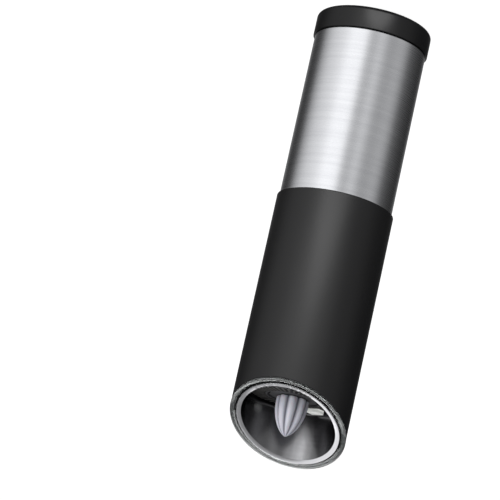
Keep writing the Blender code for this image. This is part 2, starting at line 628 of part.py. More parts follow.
def slanted_disc(name, inner, outer, thick):
    """Ring under the mouth's slanted cut, as a tool to join to a tube."""
    low = MOUTH_Z - thick - RIM_RISE - ABOVE_RIM
    disc = turned(name, tube(inner, outer, low, OVERHEIGHT), steps=FACETS)
    boolean(disc, "DIFFERENCE", slant_tool(name + "_under_cut", MOUTH_Z - thick, above=False))
    return disc


barrel = turned("clear_barrel", tube(BARREL_IN, BARREL_R, BARREL_Z, OVERHEIGHT),
                CLEAR, "grinder_module", FACETS)
boolean(barrel, "UNION", slanted_disc("rim_flange", BARREL_R - CUT, RIM_R, RIM_T))
boolean(barrel, "DIFFERENCE", slant_tool("barrel_cut", MOUTH_Z))
boolean(barrel, "DIFFERENCE", slanted_disc("lip_recess", BARREL_IN - CUT, LIP_R + GAP, LIP_T + GAP))
for number in range(KEYS):
    slot_size = (BARREL_WALL + 2 * CUT, KEY[1] + 2 * GAP, KEY[2] + GAP)
    boolean(barrel, "DIFFERENCE", block(f"key_slot_{number + 1}", slot_size,
                                        (KEY_R, 0.0, SHOULDER_Z + slot_size[2] / 2),
                                        turn=360.0 * number / KEYS))

round_r = LINER_IN - LINER_ROUND
round_z = FLOOR_Z + LINER_ROUND
liner = turned("mouth_liner",
               [(0.0, OVERHEIGHT), (LINER_R, OVERHEIGHT)]
               + arc(round_r, round_z, LINER_ROUND + LINER_WALL, 0, -90) + [(0.0, LINER_FLOOR_Z)],
               PLAIN_STEEL, "grinder_module", FACETS)
boolean(liner, "UNION", slanted_disc("liner_lip", round_r, LIP_R, LIP_T))
boolean(liner, "DIFFERENCE", turned("bowl_inside",
                                    [(0.0, OVERHEIGHT + CUT), (LINER_IN, OVERHEIGHT + CUT)]
                                    + arc(round_r, round_z, LINER_ROUND, 0, -90)
                                    + [(round_r, LINER_FLOOR_Z - CUT), (0.0, LINER_FLOOR_Z - CUT)],
                                    steps=FACETS))
boolean(liner, "DIFFERENCE", slant_tool("liner_cut", MOUTH_Z))

# ---------------------------------------------------------------- burrs, shaft and knob
PLATE_TOP_Z = LINER_FLOOR_Z - GAP
WALL_IN = LINER_R - HOUSING_WALL
burr_housing = turned("burr_housing",
                      [(BURR_NOSE_R + GAP, FLOOR_Z), (FLOOR_BOSS_R, FLOOR_Z), (FLOOR_BOSS_R, PLATE_TOP_Z),
                       (LINER_R, PLATE_TOP_Z), (LINER_R, BURR_WALL_Z), (WALL_IN, BURR_WALL_Z),
                       (WALL_IN, PLATE_UNDER_Z), (POCKET_R, PLATE_UNDER_Z), (POCKET_R, BURR_Z),
                       (POCKET_IN, BURR_Z), (POCKET_IN, PLATE_UNDER_Z), (BURR_NOSE_R + GAP, PLATE_UNDER_Z)],
                      BLACK, "grinder_module", FACETS)
WINDOW_RISE = 0.2
WINDOW_LOW = PLATE_UNDER_Z + WINDOW_RISE
window_middle = (WINDOW_R, 0.0, WINDOW_LOW + WINDOW[2] / 2)
window_size = (WINDOW[1], WINDOW[0], WINDOW[2])
window_hole = tuple(side + 2 * GAP for side in window_size)
boolean(burr_housing, "DIFFERENCE", block("window_hole", window_hole, window_middle, turn=WINDOW_ANGLE))
block("led_lens", window_size, window_middle, CLEAR, "grinder_module", turn=WINDOW_ANGLE)
lamp_r = (POCKET_R + WALL_IN) / 2
lamp_at = (lamp_r * cos(radians(WINDOW_ANGLE)), lamp_r * sin(radians(WINDOW_ANGLE)), 0.0)
LAMP_TOP = WINDOW_LOW - GAP
LAMP_H = 5.0
turned("led_lamp", [(0.0, LAMP_TOP)] + arc(0.0, LAMP_TOP - LAMP_R, LAMP_R, 67.5, 0, 4)
       + [(LAMP_R, LAMP_TOP - LAMP_H), (0.0, LAMP_TOP - LAMP_H)], CLEAR, "grinder_module", SMALL, at=lamp_at)
CONDUIT_R = 1.0
CONDUIT_OUT = 0.8              # conduit beyond the middle of the spigot's lip
conduit_r = (SPIGOT_LIP_R + SPIGOT_R) / 2 + CONDUIT_OUT
conduit_at = (conduit_r * cos(radians(WINDOW_ANGLE)), conduit_r * sin(radians(WINDOW_ANGLE)), 0.0)
turned("led_conduit", rod(CONDUIT_R, SPIGOT_TOP + GAP, BURR_WALL_Z - GAP),
       BLACK, "grinder_module", SMALL, at=conduit_at)

BURR_THROAT_H = 5.4            # finishing zone above the throat
BURR_THROAT_Z = FLOOR_Z - BURR_THROAT_H
ring = turned("burr_ring",
              [(BURR_NOSE_R, FLOOR_Z), (BURR_NOSE_R, BURR_SHOULDER_Z), (BURR_R, BURR_SHOULDER_Z),
               (BURR_R, BURR_Z), (BURR_INLET_R, BURR_Z), (BURR_THROAT_R, BURR_THROAT_Z),
               (BURR_EXIT_R, FLOOR_Z)],
              CERAMIC, "grinder_module", RING_RIDGES * 2)


def is_groove(angle, ridges):
    """True on every second station round a burr of the given number of ridges."""
    return round(angle / pi * ridges) % 2 == 1


BORE_LIMIT_R = BURR_NOSE_R - 0.4
reshaped(ring,
         lambda radius, angle, z: radius + RIDGE * (radius < BORE_LIMIT_R and is_groove(angle, RING_RIDGES)))

retainer = turned("burr_retainer", tube(SHAFT_BUSH_R + GAP, RETAINER_R, RETAINER_Z, RETAINER_Z + RETAINER_T),
                  BLACK, "grinder_module", FACETS)
SPOKES = 3
SPOKE_W = 3.0
HUB_WALL = 1.6
FEED_IN = SHAFT_BUSH_R + GAP + HUB_WALL
feed_ring = turned("feed_opening", tube(FEED_IN, POCKET_IN, RETAINER_Z - CUT, BURR_Z), steps=FINE)
spoke_length = POCKET_IN + 2 * CUT
spoke_height = RETAINER_T + 6 * CUT
for number in range(SPOKES):
    boolean(feed_ring, "DIFFERENCE",
            block(f"spoke_{number + 1}", (spoke_length, SPOKE_W, spoke_height),
                  (spoke_length / 2, 0.0, RETAINER_Z + RETAINER_T / 2), turn=30.0 + 360.0 * number / SPOKES))
boolean(retainer, "DIFFERENCE", feed_ring)
BUSH_BELOW = 1.5
BUSH_ABOVE = 0.6
BUSH_Z = RETAINER_Z - BUSH_BELOW
BUSH_TOP = RETAINER_Z + RETAINER_T + BUSH_ABOVE
turned("shaft_bush", tube(SHAFT_BUSH_IN, SHAFT_BUSH_R, BUSH_Z, BUSH_TOP), BRASS, "grinder_module", FINE)

END_PLAY = 0.5
ROTOR_DROP = 0.5               # how far the rotor slides down at its finest setting
SHAFT_Z = SOCKET_Z + END_PLAY
HEX_TOP = ROTOR_TOP - END_PLAY
shaft = rods("drive_shaft", SHAFT_R, SHAFT_Z, HEX_TOP, ((0.0, 0.0),), HEX, PLAIN_STEEL, "drive_shaft")
boolean(shaft, "UNION", rods("thread_end", THREAD_R, HEX_TOP - ROOT, BORE_END_Z - ROTOR_DROP - GAP,
                             ((0.0, 0.0),)))
CLIP_T = 0.9
CLIP_R = SHAFT_R + 1.3
CLIP_Z = BUSH_Z - GAP - CLIP_T
CLIP_TOP = CLIP_Z + CLIP_T
CLIP_FLAT_R = SHAFT_R * cos(pi / 6) - 0.2
boolean(shaft, "DIFFERENCE", turned("clip_groove", tube(CLIP_FLAT_R - GAP, SHAFT_R + CUT, CLIP_Z - GAP,
                                                        CLIP_TOP + GAP)))
turned("retaining_ring", tube(CLIP_FLAT_R, CLIP_R, CLIP_Z, CLIP_TOP), PLAIN_STEEL, "drive_shaft", SMALL)

spring_top = ROTOR_Z + SPRING_SEAT - GAP
rotor = turned("burr_rotor",
               [(THREAD_R, ROTOR_TOP), (ROTOR_R, ROTOR_TOP), (ROTOR_INLET_R, ROTOR_Z),
                (SPRING_SEAT_R, ROTOR_Z), (SPRING_SEAT_R, ROTOR_Z + SPRING_SEAT),
                (THREAD_R, ROTOR_Z + SPRING_SEAT)],
               CERAMIC, "burr_rotor", ROTOR_RIDGES * 2)
groove_from = SPRING_SEAT_R + 0.1
reshaped(rotor,
         lambda radius, angle, z: radius - RIDGE * radius / ROTOR_R * (radius > groove_from
                                                                      and is_groove(angle, ROTOR_RIDGES)))
boolean(rotor, "DIFFERENCE", rods("rotor_hex", SHAFT_R + GAP, ROTOR_Z - CUT, ROTOR_TOP + CUT,
                                  ((0.0, 0.0),), HEX))

spring_low = BUSH_TOP + ROTOR_DROP + GAP + SPRING_WIRE
spring_curve = bpy.data.curves.new("burr_spring", "CURVE")
spring_curve.dimensions = "3D"
spring_curve.bevel_depth = SPRING_WIRE * MM
spring_curve.bevel_resolution = 2
spring_curve.use_fill_caps = True
POINTS_A_TURN = 10
coil_steps = SPRING_TURNS * POINTS_A_TURN
coil_rise = (spring_top - SPRING_WIRE - spring_low) / coil_steps
coil = spring_curve.splines.new("POLY")
coil.points.add(coil_steps)
for number, point in enumerate(coil.points):
    angle = 2 * pi * number / POINTS_A_TURN
    height = spring_low + coil_rise * number
    point.co = (SPRING_R * cos(angle) * MM, SPRING_R * sin(angle) * MM, height * MM, 1.0)
spring_curve.materials.append(PLAIN_STEEL)
spring = bpy.data.objects.new("burr_spring", spring_curve)
model.objects.link(spring)
spring.parent = body("burr_rotor")

KNOB_BASE_H = 2.0
KNOB_BORE_R = THREAD_R + GAP
OGIVE_H = KNOB_H - KNOB_BASE_H
OGIVE_Z = KNOB_Z + KNOB_BASE_H
OGIVE_STEPS = 7
BLUNTNESS = 0.8                # spacing of the profile's points, closer together at the tip
ROUNDED = 0.55                 # share of an ellipse mixed into the pointed arch
ogive_r = (OGIVE_H ** 2 + KNOB_R ** 2) / (2 * KNOB_R)
knob_side = [(0.0, KNOB_Z + KNOB_H)]
for number in range(1, OGIVE_STEPS):
    rise = OGIVE_H * cos(pi / 2 * number / OGIVE_STEPS) ** BLUNTNESS
    arch = ogive_r * (1 - (rise / ogive_r) ** 2) ** 0.5 - ogive_r + KNOB_R
    ellipse = KNOB_R * (1 - (rise / OGIVE_H) ** 2) ** 0.5
    knob_side.append((arch + (ellipse - arch) * ROUNDED, OGIVE_Z + rise))
knob = turned("adjuster_knob",
              knob_side + [(KNOB_R, OGIVE_Z), (KNOB_R, KNOB_Z), (KNOB_BORE_R, KNOB_Z),
                           (KNOB_BORE_R, BORE_END_Z), (0.0, BORE_END_Z)],
              KNOB, "adjuster_knob", KNOB_FLUTES * 2, turn=KNOB_TURN)


def fluted(radius, angle, z):
    """Radius of the knob's outside after its flutes; the bore stays round."""
    if radius < KNOB_BORE_R + 0.1 and z < BORE_END_Z + 0.1:
        return radius
    return radius * (1 - KNOB_FLUTE * (1 - abs(cos(KNOB_FLUTES * angle / 2))))


reshaped(knob, fluted)

body("battery_pack").parent = body("motor_module")
body("end_cap").parent = body("battery_pack")
body("tilt_ball").parent = body("motor_module")
for name in ("motor_shaft", "first_carrier", "output_carrier", "grinder_module"):
    body(name).parent = body("motor_module")
body("drive_shaft").parent = body("grinder_module")
body("burr_rotor").parent = body("drive_shaft")
body("adjuster_knob").parent = body("burr_rotor")

for piece in model.objects:
    if piece.type == "MESH":
        piece.data.shade_smooth()
        piece.data.set_sharp_from_angle(angle=radians(30))
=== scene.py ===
"""Battery pepper mill that grinds when it is turned over, standing on its end cap.

The frame's +Z runs from the cap to the slanted mouth, whose tall wall is at +Y. Sizes are in millimetres.
"""
import bmesh
import bpy
from math import atan2, cos, hypot, pi, radians, sin, tan
from mathutils import Matrix, Vector


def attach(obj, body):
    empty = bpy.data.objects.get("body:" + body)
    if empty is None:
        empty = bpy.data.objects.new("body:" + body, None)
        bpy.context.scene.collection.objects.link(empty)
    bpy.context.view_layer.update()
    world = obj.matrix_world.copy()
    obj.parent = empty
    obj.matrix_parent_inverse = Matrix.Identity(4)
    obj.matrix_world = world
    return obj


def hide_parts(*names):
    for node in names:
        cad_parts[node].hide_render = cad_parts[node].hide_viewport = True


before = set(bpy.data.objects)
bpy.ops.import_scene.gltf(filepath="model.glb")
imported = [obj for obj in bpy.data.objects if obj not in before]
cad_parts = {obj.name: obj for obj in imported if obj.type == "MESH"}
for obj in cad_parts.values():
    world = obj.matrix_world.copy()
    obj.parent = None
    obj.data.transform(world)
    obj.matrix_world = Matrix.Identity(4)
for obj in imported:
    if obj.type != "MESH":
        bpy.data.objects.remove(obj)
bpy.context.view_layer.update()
MM = 0.001

# ---------------------------------------------------------------- end cap
# Unscrewing cap that the mill stands on: a satin black ABS moulding with a large rounded edge.
# Its skirt carries a single-start thread that winds into the chassis.
CAP_R = 25.8
CAP_H = 10.3
CAP_FLOOR = 2.5
CAP_ROUND = 2.0
SKIRT_R = 22.3
SKIRT_IN = 20.6
SKIRT_TOP = 16.3
THREAD_PITCH = 3.0
THREAD_DEPTH = 0.22
THREAD_LOW, THREAD_HIGH = 11.2, 15.6
SKIRT_LAND = 0.4               # plain height left above and below the thread's wall
CAP_EDGE = 0.3
CAP_FOOT_R = 20.0


def arc(centre_r, centre_z, radius, start, end, count=8):
    """Points of a round corner in an outline, from one angle to another."""
    angles = [radians(start + (end - start) * i / (count - 1)) for i in range(count)]
    return [(centre_r + radius * cos(a), centre_z + radius * sin(a)) for a in angles]


def wall(radius, low, high, steps):
    """Evenly spaced points up a straight wall, so that it can be shaped later."""
    return [(radius, low + (high - low) * i / steps) for i in range(steps + 1)]


def spun(outline, steps=96):
    """Closed solid of revolution about Z from an outline of (radius, height) in millimetres."""
    shape = bmesh.new()
    points = [shape.verts.new((r * MM, 0.0, z * MM)) for r, z in outline]
    edges = [shape.edges.new(pair) for pair in zip(points, points[1:])]
    if outline[0][0] > 0:
        edges.append(shape.edges.new((points[-1], points[0])))
    bmesh.ops.spin(shape, geom=points + edges, cent=(0, 0, 0), axis=(0, 0, 1), angle=2 * pi,
                   steps=steps, use_merge=True)
    bmesh.ops.remove_doubles(shape, verts=shape.verts, dist=1e-7)
    bmesh.ops.recalc_face_normals(shape, faces=shape.faces)
    return shape


def eased(shape, width, segments=2, sharper_than=30):
    """Round off every edge sharper than an angle by a width in millimetres."""
    sharp = [e for e in shape.edges if e.is_manifold and e.calc_face_angle(0) > radians(sharper_than)]
    bmesh.ops.bevel(shape, geom=sharp, offset=width * MM, offset_type="OFFSET", segments=segments,
                    profile=0.5, affect="EDGES", clamp_overlap=True, material=-1)
    return shape


def reshaped(shape, rule):
    """Give each point a new radius by a rule on (radius, angle, height) in millimetres and radians."""
    for point in shape.verts:
        radius = hypot(point.co.x, point.co.y) / MM
        if radius > 0.01:
            share = rule(radius, atan2(point.co.y, point.co.x), point.co.z / MM) / radius
            point.co.x *= share
            point.co.y *= share
    return shape


def linear(colour):
    """sRGB hex to linear RGBA."""
    parts = [int(colour[i:i + 2], 16) / 255 for i in (1, 3, 5)]
    return (*[c / 12.92 if c <= 0.04045 else ((c + 0.055) / 1.055) ** 2.4 for c in parts], 1.0)


def add(tree, kind, inputs=None, **settings):
    """Add a node with its settings; an input is given a value or linked to another node's output."""
    made = tree.nodes.new("ShaderNode" + kind)
    for name, value in settings.items():
        setattr(made, name, value)
    for name, value in (inputs or {}).items():
        if isinstance(value, bpy.types.NodeSocket):
            tree.links.new(value, made.inputs[name])
        else:
            made.inputs[name].default_value = value
    return made


def surface(name, **sockets):
    """New material whose shader has its constant values set on its own sockets."""
    made = bpy.data.materials.new(name)
    made.use_nodes = True
    shader = made.node_tree.nodes["Principled BSDF"]
    for socket, value in sockets.items():
        shader.inputs[socket.replace("_", " ")].default_value = value
    return made, made.node_tree, shader


def grained(name, dark, light, roughness, grain, relief, spread=0.12, detail=3.0, drift=90.0, depth=0.02,
            **sockets):
    """Finish with a fine grain of a size in mm, whose gloss varies by a spread, and slow changes of tone."""
    made, tree, shader = surface(name, **sockets)
    place = add(tree, "TexCoord").outputs["Object"]
    fine = add(tree, "TexNoise", {"Vector": place, "Scale": 1 / (grain * MM), "Detail": detail})
    broad = add(tree, "TexNoise", {"Vector": place, "Scale": drift, "Detail": 2.0})
    tone = add(tree, "Mix", {"Factor": broad.outputs["Fac"], 6: linear(dark), 7: linear(light)},
               data_type="RGBA")
    tree.links.new(tone.outputs[2], shader.inputs["Base Color"])
    gloss = add(tree, "MapRange", {"Value": fine.outputs["Fac"], "To Min": roughness * (1 - spread),
                                   "To Max": roughness * (1 + spread)})
    tree.links.new(gloss.outputs["Result"], shader.inputs["Roughness"])
    bump = add(tree, "Bump", {"Height": fine.outputs["Fac"], "Strength": relief, "Distance": depth * MM})
    tree.links.new(bump.outputs["Normal"], shader.inputs["Normal"])
    return made


def placed(name, shape):
    """Turn a finished shape into a named object."""
    mesh = bpy.data.meshes.new(name)
    shape.to_mesh(mesh)
    shape.free()
    made = bpy.data.objects.new(name, mesh)
    bpy.context.scene.collection.objects.link(made)
    return made


def fitted(name, shape, material, body, slot, *nodes, sharp=35):
    """Make a piece from its shape, let it ride on a body and stand for its CAD nodes."""
    made = placed(name, shape)
    made.data.materials.append(material)
    made.data.shade_smooth()
    made.data.set_sharp_from_angle(angle=radians(sharp))
    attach(made, body)
    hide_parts(*nodes)
    return made


# Satin black ABS, spark-eroded in the mould: a soft highlight over a near-black body.
satin_abs = grained("satin_black_abs", "#060607", "#0a0a0b", 0.33, 0.30, 0.15, IOR=1.5,
                    Specular_IOR_Level=0.3)


def cap_thread(radius, angle, z):
    """Rounded ridge that climbs one pitch a turn round the skirt."""
    if abs(radius - SKIRT_R) > 0.1 or not THREAD_LOW < z < THREAD_HIGH:
        return radius
    phase = (z / THREAD_PITCH + angle / (2 * pi)) % 1.0
    return radius + THREAD_DEPTH * max(0.0, cos(2 * pi * (phase - 0.5))) ** 2


cap = spun([(0.0, CAP_FLOOR), (SKIRT_IN, CAP_FLOOR), (SKIRT_IN, SKIRT_TOP), (SKIRT_R, SKIRT_TOP)]
           + wall(SKIRT_R, SKIRT_TOP - SKIRT_LAND, CAP_H + SKIRT_LAND, 18)
           + [(SKIRT_R, CAP_H), (CAP_R - CAP_EDGE, CAP_H)]
           + arc(CAP_R - CAP_EDGE, CAP_H - CAP_EDGE, CAP_EDGE, 80, 0, 4)
           + arc(CAP_R - CAP_ROUND, CAP_ROUND, CAP_ROUND, 0, -90) + [(CAP_FOOT_R, 0.0), (0.0, 0.0)], 120)
reshaped(cap, cap_thread)
fitted("end_cap_body", cap, satin_abs, "end_cap", "satin_black", "end_cap")

# ---------------------------------------------------------------- battery pad
# Disc of grey foam, punched from sheet and glued in the cap. It presses the battery holder up against the
# supply contacts.
PAD_R = 15.0
PAD_LOW, PAD_HIGH = 2.8, 4.8
# Polyurethane foam: pores a little under a millimetre wide, and no shine.
foam = grained("grey_foam", "#3a3a3d", "#55555a", 0.9, 0.8, 1.0)
pad = eased(spun([(0.0, PAD_HIGH), (PAD_R, PAD_HIGH), (PAD_R, PAD_LOW), (0.0, PAD_LOW)]), 0.4, 3)
fitted("cap_pad_disc", pad, foam, "end_cap", "grey_foam", "cap_pad")

# ---------------------------------------------------------------- battery holder
# Drop-in cartridge of moulded ABS: two round plates on a hollow post, with six AAA cells between them.
# Two holes in the upper plate let the supply contacts through.
HOLDER_R = 20.2
PLATE = 2.0
HOLDER_LOW, HOLDER_HIGH = 5.1, 58.5
POST_IN, POST_R = 7.9, 9.4
CELL_PITCH_R = 15.0
CELLS = 6
SUPPLY_HOLE_R = 2.2


def carve(shape, tool):
    """Take one shape out of another, by a boolean made final."""
    pair = [placed("carved", shape), placed("carving_tool", tool)]
    step = pair[0].modifiers.new("carve", "BOOLEAN")
    step.operation = "DIFFERENCE"
    step.object = pair[1]
    left = bmesh.new()
    left.from_object(pair[0], bpy.context.evaluated_depsgraph_get())
    for used in pair:
        bpy.data.objects.remove(used, do_unlink=True)
    return left


def drilled(shape, radius, top, plate, x, y):
    """Open a round hole down through a plate of a shape, given the plate's top and thickness."""
    drill = spun([(0.0, top + 1), (radius, top + 1), (radius, top - plate - 1), (0.0, top - plate - 1)], 32)
    bmesh.ops.translate(drill, vec=Vector((x, y, 0.0)) * MM, verts=drill.verts)
    return carve(shape, drill)


cell_places = [(CELL_PITCH_R * cos(2 * pi * i / CELLS), CELL_PITCH_R * sin(2 * pi * i / CELLS))
               for i in range(CELLS)]
holder = eased(spun([(HOLDER_R, HOLDER_HIGH), (HOLDER_R, HOLDER_HIGH - PLATE), (POST_R, HOLDER_HIGH - PLATE),
                     (POST_R, HOLDER_LOW + PLATE), (HOLDER_R, HOLDER_LOW + PLATE), (HOLDER_R, HOLDER_LOW),
                     (POST_IN, HOLDER_LOW), (POST_IN, HOLDER_HIGH)], 72), 0.3)
for x, y in (cell_places[0], cell_places[-1]):
    holder = drilled(holder, SUPPLY_HOLE_R, HOLDER_HIGH, PLATE, x, y)
fitted("battery_cartridge", holder, satin_abs, "battery_pack", "satin_black", "battery_holder")

# ---------------------------------------------------------------- cells and contacts
# AAA cells in plain shrink jackets, blue below a copper-toned band, each one turned over from the last.
# The brass strips are stamped, and dull from handling.
CELL_R = 5.25
CELL_LOW, CELL_HIGH = 10.0, 54.5
NUB_R, NUB_H = 1.9, 0.8
JACKET_EDGE = 0.7
FOOT_EDGE = 0.3
JACKET_HOLE_R = 3.2            # bare steel shows at each end inside this
BAND = 10.0
# Heat-shrunk PVC film: a smooth, fairly sharp shine, scuffed a little paler and darker by handling.
jacket, tree, shader = surface("cell_jacket", Roughness=0.28, IOR=1.5, Coat_Weight=0.4)
place = add(tree, "TexCoord").outputs["Object"]
height = add(tree, "SeparateXYZ", {"Vector": place}).outputs["Z"]
wear = add(tree, "TexNoise", {"Vector": place, "Scale": 400.0, "Detail": 2.0})
band = add(tree, "ValToRGB", {"Fac": add(tree, "MapRange", {"Value": height, "From Min": CELL_LOW * MM,
                                                            "From Max": CELL_HIGH * MM}).outputs["Result"]})
band.color_ramp.interpolation = "CONSTANT"
band.color_ramp.elements[0].color = linear("#1d3a63")
band.color_ramp.elements[1].color = linear("#9a6a3c")
band.color_ramp.elements[1].position = 1 - BAND / (CELL_HIGH - CELL_LOW)
worn = add(tree, "HueSaturation", {"Color": band.outputs["Color"], "Value": add(tree, "MapRange", {
    "Value": wear.outputs["Fac"], "To Min": 0.85, "To Max": 1.15}).outputs["Result"]})
tree.links.new(worn.outputs["Color"], shader.inputs["Base Color"])


def metal(name, dark, light, roughness, grain, relief):
    """Plated or turned metal, whose gloss varies more than a moulding's."""
    return grained(name, dark, light, roughness, grain, relief, spread=0.25, detail=4.0, drift=120.0,
                   depth=0.01, Metallic=1.0)


# Cartridge brass strip, dulled by fingers, and zinc-plated steel: even, greyish, with short soft highlights.
brass = metal("stamped_brass", "#a8813f", "#c9a25a", 0.3, 0.2, 0.4)
plain_steel = metal("zinc_plated_steel", "#8f9094", "#b4b5b8", 0.3, 0.15, 0.4)

for number, (x, y) in enumerate(cell_places):
    outline = [(0.0, CELL_HIGH), (NUB_R, CELL_HIGH), (NUB_R, CELL_HIGH - NUB_H),
               (CELL_R - JACKET_EDGE, CELL_HIGH - NUB_H)]
    outline += arc(CELL_R - JACKET_EDGE, CELL_HIGH - NUB_H - JACKET_EDGE, JACKET_EDGE, 90, 0, 4)[1:]
    outline += [(CELL_R, CELL_LOW + FOOT_EDGE), (CELL_R - FOOT_EDGE, CELL_LOW), (0.0, CELL_LOW)]
    cell = spun(outline, 40)
    if number % 2:
        bmesh.ops.translate(cell, vec=(0, 0, -(CELL_LOW + CELL_HIGH) / 2 * MM), verts=cell.verts)
        bmesh.ops.rotate(cell, cent=(0, 0, 0), matrix=Matrix.Rotation(pi, 3, "X"), verts=cell.verts)
        bmesh.ops.translate(cell, vec=(0, 0, (CELL_LOW + CELL_HIGH) / 2 * MM), verts=cell.verts)
    bmesh.ops.translate(cell, vec=Vector((x, y, 0)) * MM, verts=cell.verts)
    made = fitted(f"aaa_cell_{number + 1}", cell, jacket, "battery_pack", "cell_jacket", f"cell_{number + 1}")
    made.data.materials.append(plain_steel)
    for face in made.data.polygons:
        face.material_index = int(hypot(face.center.x - x * MM, face.center.y - y * MM) < JACKET_HOLE_R * MM)


def finish_nodes(material, *names):
    """Give CAD nodes that keep their shape a better material."""
    for name in names:
        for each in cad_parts[name].material_slots:
            each.material = material


finish_nodes(brass, "lower_contact_1", "lower_contact_2", "lower_contact_3", "upper_contact_1",
             "upper_contact_2", "supply_contact_1", "supply_contact_2", "output_bush")

# ---------------------------------------------------------------- steel sleeve
# Thin tube of brushed 18/8 stainless steel, slid over the motor half. The belt ran round the tube, so
# hair-fine lines circle it and every highlight is drawn out along its length.
STEEL_IN, STEEL_R = 24.5, 25.0
STEEL_LOW, STEEL_HIGH = 10.6, 85.3
STEEL_LAND = 0.5
LINE = 0.12                    # brush lines' spacing, drawn coarser than the real 0.03 so that they show
brushed, tree, shader = surface("brushed_stainless_steel", Metallic=1.0, Anisotropic=0.55,
                                Anisotropic_Rotation=0.25)
place = add(tree, "TexCoord").outputs["Object"]
round_it = add(tree, "Mapping", {"Vector": place, "Scale": (25.0, 25.0, 1 / (LINE * MM))})
lines = add(tree, "TexNoise", {"Vector": round_it.outputs["Vector"], "Scale": 1.0, "Detail": 5.0,
                               "Roughness": 0.7})
streaks = add(tree, "TexNoise", {"Vector": add(tree, "Mapping", {
    "Vector": place, "Scale": (12.0, 12.0, 700.0)}).outputs["Vector"], "Scale": 1.0, "Detail": 2.0})
tone = add(tree, "Mix", {"Factor": streaks.outputs["Fac"], 6: linear("#cdced2"), 7: linear("#e2e3e6")},
           data_type="RGBA")
tree.links.new(tone.outputs[2], shader.inputs["Base Color"])
gloss = add(tree, "MapRange", {"Value": lines.outputs["Fac"], "From Min": 0.3, "From Max": 0.7,
                               "To Min": 0.20, "To Max": 0.32})
tree.links.new(gloss.outputs["Result"], shader.inputs["Roughness"])
relief = add(tree, "Bump", {"Height": lines.outputs["Fac"], "Strength": 0.5, "Distance": 0.004 * MM})
tree.links.new(relief.outputs["Normal"], shader.inputs["Normal"])
along = add(tree, "Tangent", direction_type="RADIAL", axis="Z")
tree.links.new(along.outputs["Tangent"], shader.inputs["Tangent"])

sleeve = spun([(STEEL_R, STEEL_HIGH)] + wall(STEEL_R, STEEL_HIGH - STEEL_LAND, STEEL_LOW + STEEL_LAND, 6)
              + [(STEEL_R, STEEL_LOW), (STEEL_IN, STEEL_LOW), (STEEL_IN, STEEL_HIGH)], 160)
fitted("steel_tube", eased(sleeve, 0.15, 2), brushed, "motor_module", "steel_sleeve", "steel_sleeve")

# ---------------------------------------------------------------- chassis and motor housing
# Two black ABS mouldings inside the sleeve. The chassis holds the batteries up to its bulkhead; the
# housing holds the motor, and its keyed spigot plugs into the grinder half.
CHASSIS_IN, CHASSIS_R = 22.6, 24.2
CHASSIS_TOP = 64.0
BULKHEAD = 2.0
WIRE_HOLE_R, WIRE_HOLE_PITCH_R = 1.5, 18.0
HOUSING_LOW = 64.3
SEAM, SEAM_STEP = 85.6, 0.3
COLLAR_R = 24.0
CAVITY_R = 22.0
SHOULDER, NECK = 100.7, 1.5
SPIGOT_R, SPIGOT_IN = 21.5, 19.9
LIP_IN, LIP_LOW = 17.5, 106.7
SPIGOT_TOP = 110.2
SEAL_HEIGHT, SEAL_R = 108.2, 0.75
SEAL_SIDE, GROOVE_ROOM = 0.3, 0.1
SEAL_PROUD = 0.2
KEYS = 3
KEY = (1.4, 2.4, 3.0)
KEY_R = 23.0
KEY_ROOT = 0.2                 # how far a key sinks into the shoulder it grows from
chassis = spun([(0.0, CHASSIS_TOP), (CHASSIS_R, CHASSIS_TOP), (CHASSIS_R, STEEL_LOW), (CHASSIS_IN, STEEL_LOW),
                (CHASSIS_IN, CHASSIS_TOP - BULKHEAD), (0.0, CHASSIS_TOP - BULKHEAD)])
for y in (-WIRE_HOLE_PITCH_R, WIRE_HOLE_PITCH_R):
    chassis = drilled(chassis, WIRE_HOLE_R, CHASSIS_TOP, BULKHEAD, 0.0, y)
fitted("battery_chassis", eased(chassis, 0.2), satin_abs, "motor_module", "satin_black", "chassis")

groove = SPIGOT_R - 2 * SEAL_R - GROOVE_ROOM
groove_low, groove_high = SEAL_HEIGHT - SEAL_R - SEAL_SIDE, SEAL_HEIGHT + SEAL_R + SEAL_SIDE
housing = eased(spun([(SPIGOT_R, SPIGOT_TOP), (SPIGOT_R, groove_high), (groove, groove_high),
                      (groove, groove_low), (SPIGOT_R, groove_low), (SPIGOT_R, SHOULDER),
                      (COLLAR_R, SHOULDER), (COLLAR_R, SEAM + SEAM_STEP), (CHASSIS_R, SEAM - SEAM_STEP),
                      (CHASSIS_R, HOUSING_LOW), (CAVITY_R, HOUSING_LOW), (CAVITY_R, SHOULDER - 2 * NECK),
                      (SPIGOT_IN, SHOULDER - NECK), (SPIGOT_IN, LIP_LOW), (LIP_IN, LIP_LOW),
                      (LIP_IN, SPIGOT_TOP)]), 0.25)


def box(size, middle, turn=0.0, edge=0.3, segments=2):
    """Rounded block of a size about a middle point, turned about Z in degrees."""
    shape = bmesh.new()
    bmesh.ops.create_cube(shape, size=MM)
    bmesh.ops.scale(shape, vec=size, verts=shape.verts)
    bmesh.ops.bevel(shape, geom=shape.edges, offset=edge * MM, offset_type="OFFSET", segments=segments,
                    profile=0.5, affect="EDGES", material=-1)
    bmesh.ops.translate(shape, vec=Vector(middle) * MM, verts=shape.verts)
    bmesh.ops.rotate(shape, cent=(0, 0, 0), matrix=Matrix.Rotation(radians(turn), 3, "Z"), verts=shape.verts)
    return shape


def joined(shape, other):
    """Put another shape's faces into a shape."""
    mesh = bpy.data.meshes.new("joined")
    other.to_mesh(mesh)
    other.free()
    shape.from_mesh(mesh)
    bpy.data.meshes.remove(mesh)
    return shape


for number in range(KEYS):
    joined(housing, box(KEY, (KEY_R, 0.0, SHOULDER + KEY[2] / 2 - KEY_ROOT), 360.0 * number / KEYS))
fitted("keyed_housing", housing, satin_abs, "motor_module", "satin_black", "motor_housing")

